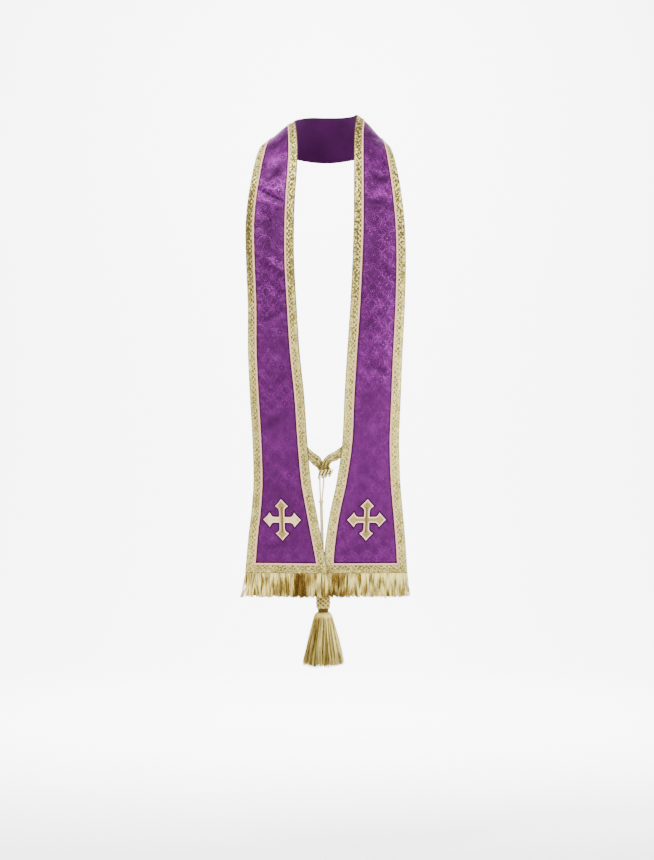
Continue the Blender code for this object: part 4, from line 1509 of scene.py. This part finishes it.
def make_winding():
    """Cord wound slantwise round the ends of both arms."""
    turns = np.linspace(0.0, BINDING_TURNS, round(BINDING_TURNS * 26))
    angle = 2 * np.pi * turns + 0.9
    height = (BINDING_HEIGHT / 2 - BINDING_CORD + 2.4 * MM) * np.sin(angle)
    depth = -(BINDING_DEPTH / 2 - BINDING_CORD + 0.5 * MM) * np.cos(angle)
    along = BINDING_LENGTH * (turns / BINDING_TURNS - 0.5) * 0.98 + BINDING_LEAN * height * 1.3
    points, faces, tone, _ = rope(binding_points(along, depth, height), BINDING_CORD, 2, 7 * MM)
    return add_rope("wound_binding", "tie_binding", points, faces, tone)


def make_binding_core():
    """Folded ends of both arms, inside the winding, dark as painted shade between its turns."""
    f = np.linspace(-1.0, 1.0, 25)[:, None]
    turn = np.linspace(0, 2 * np.pi, 33)[None, :-1]
    swell = np.sqrt(np.clip(1 - f**4, 0.02, 1)) * (1 + 0.06 * np.cos(turn * 7))
    height = (BINDING_HEIGHT / 2 - CORE_INSIDE) * swell * np.sin(turn)
    depth = (BINDING_DEPTH / 2 - CORE_INSIDE) * swell * np.cos(turn)
    along = BINDING_LENGTH * 0.47 * f + BINDING_LEAN * height * 1.3
    points = binding_points(along, depth, height).reshape(-1, 3)
    return add_piece("binding_core", "tie_binding", points, ring_faces(*height.shape),
                     ["tassel"], extra={"tone": np.full(len(points), 0.12)})


def make_cord(name):
    """Hanging twisted cord of the tie; returns it and its centre line."""
    path = np.array(CORDS[name], dtype=float) * MM
    points, faces, tone, centre = rope(path, CORD_DIAMETER / 2 * 1.18, 2, 6.5 * MM)
    return add_rope(f"twisted_cord_{name}", f"tie_cord_{name}", points, faces, tone), centre[::8]


def make_knot():
    """Ring knot: the cord wound round both hanging cords."""
    turns = np.linspace(0.0, 2.2, 60)
    rise = (turns / 2.2 - 0.5) * 3.0 * MM
    route = KNOT_CENTRE + round_points(4.6 * MM, 2 * np.pi * turns, rise) * (1, 0.8, 1)
    points, faces, tone, _ = rope(route, 1.15 * MM, 2, 4 * MM, sides=12)
    return add_rope("slide_knot", "tie_knot", points, faces, tone)


# Places on the tassel's head, in mm below its top
NET_FOOT = 35.5
CROWN_DROP = 31.5                    # the scalloped cord near the net's foot
NECK_DROP = 39.5                     # the narrowest place
NECK_WOUND = 40.0                    # the middle of the wound cord
COLLAR_DROP = 44.5                   # the pale collar begins
SKIRT_TOP = 43.0                     # the yarns of the skirt leave the neck

HEAD_SIDES = 96
HEAD_ROWS = 120
SKIRT_LOCKS = 78
SKIRT_LOCK_YARNS = 19
SKIRT_SEED = 31
SKIRT_RADIUS = 0.36 * MM
SKIRT_STEPS = (0.0, 0.018, 0.04, 0.07, 0.13, 0.25, 0.40, 0.56, 0.74, 0.88, 1.0)    # f of the points


def make_tassel_head():
    """Netted head with its wound neck and the collar that the skirt hangs from."""
    rows = np.array(TASSEL_HEAD, dtype=float)
    knots = running_lengths(rows)
    profile = smooth_path(np.column_stack((rows[:, 1], rows[:, 0], rows[:, 0] * 0)), knots,
                          np.linspace(0, knots[-1], HEAD_ROWS))
    radius, drop = profile[:, :1], profile[:, 1:2]
    turn = np.linspace(0, 2 * np.pi, HEAD_SIDES + 1)[None, :-1]
    on_head = np.clip((NET_FOOT - drop) / 1.5, 0, 1)
    net = np.maximum(*(np.abs(np.sin(turn * 4 + drop * slant)) for slant in (0.34, -0.34)))
    net = np.clip((net - 0.84) / 0.16, 0, 1) * on_head
    scallop = 2.2 * np.abs(np.sin(turn * 4 + 1.2))
    crown = np.clip(1 - np.abs(drop - CROWN_DROP - scallop) / 1.5, 0, 1)
    yarns = np.abs(np.sin(turn * 24))
    wound = np.abs(np.sin(drop * 2.1)) * np.clip(1 - np.abs(drop - NECK_WOUND) / 3.4, 0, 1)
    cords = np.maximum(net, crown * on_head)
    reach = radius + 1.1 * cords + 0.45 * yarns * (0.4 + 0.6 * (1 - on_head)) + 0.5 * wound - 0.4
    points = TASSEL_TOP + round_points(reach * MM, turn, -drop * MM)
    groove = np.clip(1.3 - np.abs(drop - NECK_DROP) / 4.5, 0, 1)
    # painted shade: dark in the groove of the neck and between the net's cords
    tone = 0.08 + 0.62 * cords + 0.22 * yarns - 0.8 * groove + 0.4 * (drop > COLLAR_DROP)
    return add_piece("tassel_head", "tassel", points.reshape(-1, 3),
                     ring_faces(HEAD_ROWS, HEAD_SIDES), ["tassel"],
                     extra={"tone": np.clip(tone, 0, 1).reshape(-1)})


def skirt_turn(lock, f, middle, aside, random):
    """Direction of each yarn about the tassel's axis, all the way down."""
    hold = 1 - by_lock(random.uniform, lock, 0.15, 0.6) * np.sin(np.pi * f * 0.62)
    sway = by_lock(random.normal, lock, 0, 0.05) * np.sin(np.pi * f)
    sway = sway + by_lock(random.normal, lock, 0, 0.045) * f
    turn = 2 * np.pi * (middle + aside * hold * 0.72 / SKIRT_LOCKS) + sway
    turn = turn + random.normal(0, 0.050, (len(lock), 1)) * f
    curl = f * random.uniform(1, 2, (len(lock), 1)) + middle
    return turn + 0.010 * np.sin(2 * np.pi * curl)


def skirt_paths(lock, f, aside, depth, middle, random):
    """Yarns of the skirt, from the neck over the collar and down."""
    count = len(lock)
    foot = TASSEL_HEAD[-1].drop
    turn = skirt_turn(lock, f, middle, aside, random)
    long = TASSEL_DROP / MM * (1 - 0.045 * (1 - depth)) + random.normal(-0.3, 1.9, (count, 1))
    drop = SKIRT_TOP + (foot - SKIRT_TOP + (long + by_lock(random.normal, lock, 0, 1.2))) * f
    collar = read_off(TASSEL_HEAD, drop)
    hang = np.clip((drop - foot) / (TASSEL_DROP / MM), 0, 1)
    flare = 1 + (TASSEL_FLARE - 1) * (0.97 * hang + 0.05 * np.sin(np.pi * hang))
    bulge = by_lock(random.normal, lock, 0, 0.030) * np.sin(np.pi * f * 0.8)
    bulge = bulge + by_lock(random.normal, lock, 0, 0.035) * f
    inward = 1 - 0.5 * depth * np.clip(hang * 6, 0, 1)
    reach = collar * inward * (flare * (1 + bulge)) + 0.25
    reach = (reach + random.normal(0, 0.5, (count, 1)) * f) * MM
    return round_points(reach, turn, -drop * MM) + TASSEL_TOP


def make_tassel_skirt():
    """Flared skirt: yarns in thin locks over a dark core of more yarns."""
    random = np.random.default_rng(SKIRT_SEED)
    lock = np.repeat(np.arange(SKIRT_LOCKS), SKIRT_LOCK_YARNS)
    count = len(lock)
    f = np.array(SKIRT_STEPS)[None, :]
    middle = (np.arange(SKIRT_LOCKS) + random.uniform(-0.3, 0.3, SKIRT_LOCKS)) / SKIRT_LOCKS
    aside = random.uniform(-1, 1, (count, 1))
    depth = random.uniform(0, 1, (count, 1)) ** 1.6
    paths = skirt_paths(lock, f, aside, depth, for_yarns(middle, lock), random)
    radii = SKIRT_RADIUS * (1 - 0.1 * f) * random.uniform(0.8, 1.2, (count, 1))
    # painted shade on the inner yarns and on the sides of each lock
    tone = by_lock(random.uniform, lock, 0.42, 1.05) * (1 - 0.65 * depth)
    tone = tone * (1 - 0.40 * np.abs(aside) ** 3)
    waves = f * by_lock(random.uniform, lock, 0.6, 1.4) + by_lock(random.uniform, lock, 0, 1)
    tone = tone * (1 + 0.35 * np.sin(2 * np.pi * waves)) + random.normal(0, 0.22, (count, 1))
    tone = np.where((f > 0.015) & (f < 0.08), np.maximum(tone, 0.80), tone)
    return add_threads("tassel_skirt", "tassel", paths, radii, "tassel", np.clip(tone, 0, 1),
                       skirt_core())


def skirt_core():
    """Inner yarns of the skirt, as one fluted body under the locks, dark as painted shade inside
    the skirt.
    """
    turn = np.linspace(0, 2 * np.pi, 73)[None, :-1]
    f = np.linspace(0.0, 1.0, 16)[:, None]
    radius = TASSEL_HEAD[-1].radius * (0.55 + 0.72 * f) * (1 + 0.05 * np.abs(np.sin(turn * 18)))
    drop = TASSEL_HEAD[-1].drop + TASSEL_DROP / MM * (0.95 * f)
    points = (round_points(radius, turn, -drop) * MM + TASSEL_TOP).reshape(-1, 3)
    return points, ring_faces(*radius.shape), np.full(len(points), 0.10)


# ---------------------------------------------------------------- the studio

CAMERA_REACH = 50.0                  # metres that the camera sees
STUDIO_NEAR, STUDIO_DEPTH = -9.0, 5.2        # front and back end of the paper
STUDIO_BEND, STUDIO_RISE = 1.8, 8.0          # radius of its curve, and height of its back
STUDIO_HALF_WIDTH = 10.0
WORLD_LIGHT = 0.5

Lamp = namedtuple("Lamp", "name place target size power")
LAMPS = [
    Lamp("key_left", (-2.2, -2.4, 1.8), (0.0, -0.1, -0.6), 0.9, 198),
    Lamp("key_right", (2.6, -3.0, 0.9), (0.0, -0.1, -0.6), 1.4, 190),
    Lamp("top", (-0.4, -1.5, 2.3), (0.0, -0.1, -0.2), 0.9, 130),
    Lamp("back_wall", (0.0, 1.9, 1.4), (0.0, 4.4, -1.3), 3.2, 1150),
]


def make_camera():
    """Camera of the photo, level and far off."""
    data = bpy.data.cameras.new("camera")
    data.lens = data.sensor_width * CAMERA_DISTANCE / (PHOTO_HEIGHT * FIGURE_SCALE)
    data.clip_end = CAMERA_REACH
    camera = bpy.data.objects.new("camera", data)
    camera.location = (CAMERA_SIDE, FIGURE_DEPTH - CAMERA_DISTANCE, CAMERA_HEIGHT)
    camera.rotation_euler = (math.pi / 2, 0.0, 0.0)
    bpy.context.scene.collection.objects.link(camera)
    bpy.context.scene.camera = camera


def make_light(lamp):
    """Square soft light that faces its target."""
    data = bpy.data.lights.new(lamp.name, "AREA")
    data.shape = "SQUARE"
    data.size = lamp.size
    data.energy = lamp.power
    light = bpy.data.objects.new(lamp.name, data)
    light.location = lamp.place
    aim = np.array(lamp.target) - np.array(lamp.place)
    flat = math.hypot(aim[0], aim[1])
    light.rotation_euler = (math.atan2(flat, -aim[2]), 0.0, math.atan2(-aim[0], aim[1]))
    bpy.context.scene.collection.objects.link(light)


def make_backdrop():
    """Pale floor that curves up into a back wall."""
    curve = [(STUDIO_NEAR, 0.0)]
    for angle in np.linspace(0, math.pi / 2, 13):
        curve.append((STUDIO_DEPTH - STUDIO_BEND + STUDIO_BEND * math.sin(angle),
                      STUDIO_BEND * (1 - math.cos(angle))))
    curve.append((STUDIO_DEPTH, STUDIO_RISE))
    points = [(x, y, FLOOR_HEIGHT + z) for y, z in curve
              for x in (-STUDIO_HALF_WIDTH, STUDIO_HALF_WIDTH)]
    faces = [(2 * k, 2 * k + 1, 2 * k + 3, 2 * k + 2) for k in range(len(curve) - 1)]
    mesh = bpy.data.meshes.new("backdrop")
    mesh.from_pydata(points, [], faces)
    mesh.shade_smooth()
    mesh.materials.append(paper_material())
    backdrop = bpy.data.objects.new("backdrop", mesh)
    bpy.context.scene.collection.objects.link(backdrop)


def make_world():
    """White light from all around."""
    world = bpy.data.worlds.new("studio")
    world.use_nodes = True
    background = world.node_tree.nodes["Background"]
    background.inputs["Color"].default_value = (1.0, 1.0, 1.0, 1.0)
    background.inputs["Strength"].default_value = WORLD_LIGHT
    bpy.context.scene.world = world


def make_tie():
    """Binding, cords, knot and tassel."""
    cords = {name: make_cord(name) for name in ("r", "l")}
    knot = make_knot()
    head = make_tassel_head()
    make_tassel_skirt()
    make_winding()
    make_binding_core()


def make_half(half):
    """Brocade of one half with all that is sewn to it, and its arm of the tie."""
    panel = make_brocade(half)
    sewn = [make_side_galloon(half, "inner"), make_side_galloon(half, "outer"),
            make_hem_galloon(half), make_stitches(half), make_halo(half),
            make_cross(half), make_fringe(half)]
    make_arm(half)
    area = float(half.width(np.linspace(0, half.length, 400)).mean()) * half.length
    float(half.width(half.length))


def main():
    """The stole as it is worn, in its studio."""
    make_camera()
    make_tie()
    for half in HALVES:
        make_half(half)
    make_backdrop()
    for lamp in LAMPS:
        make_light(lamp)
    make_world()


main()
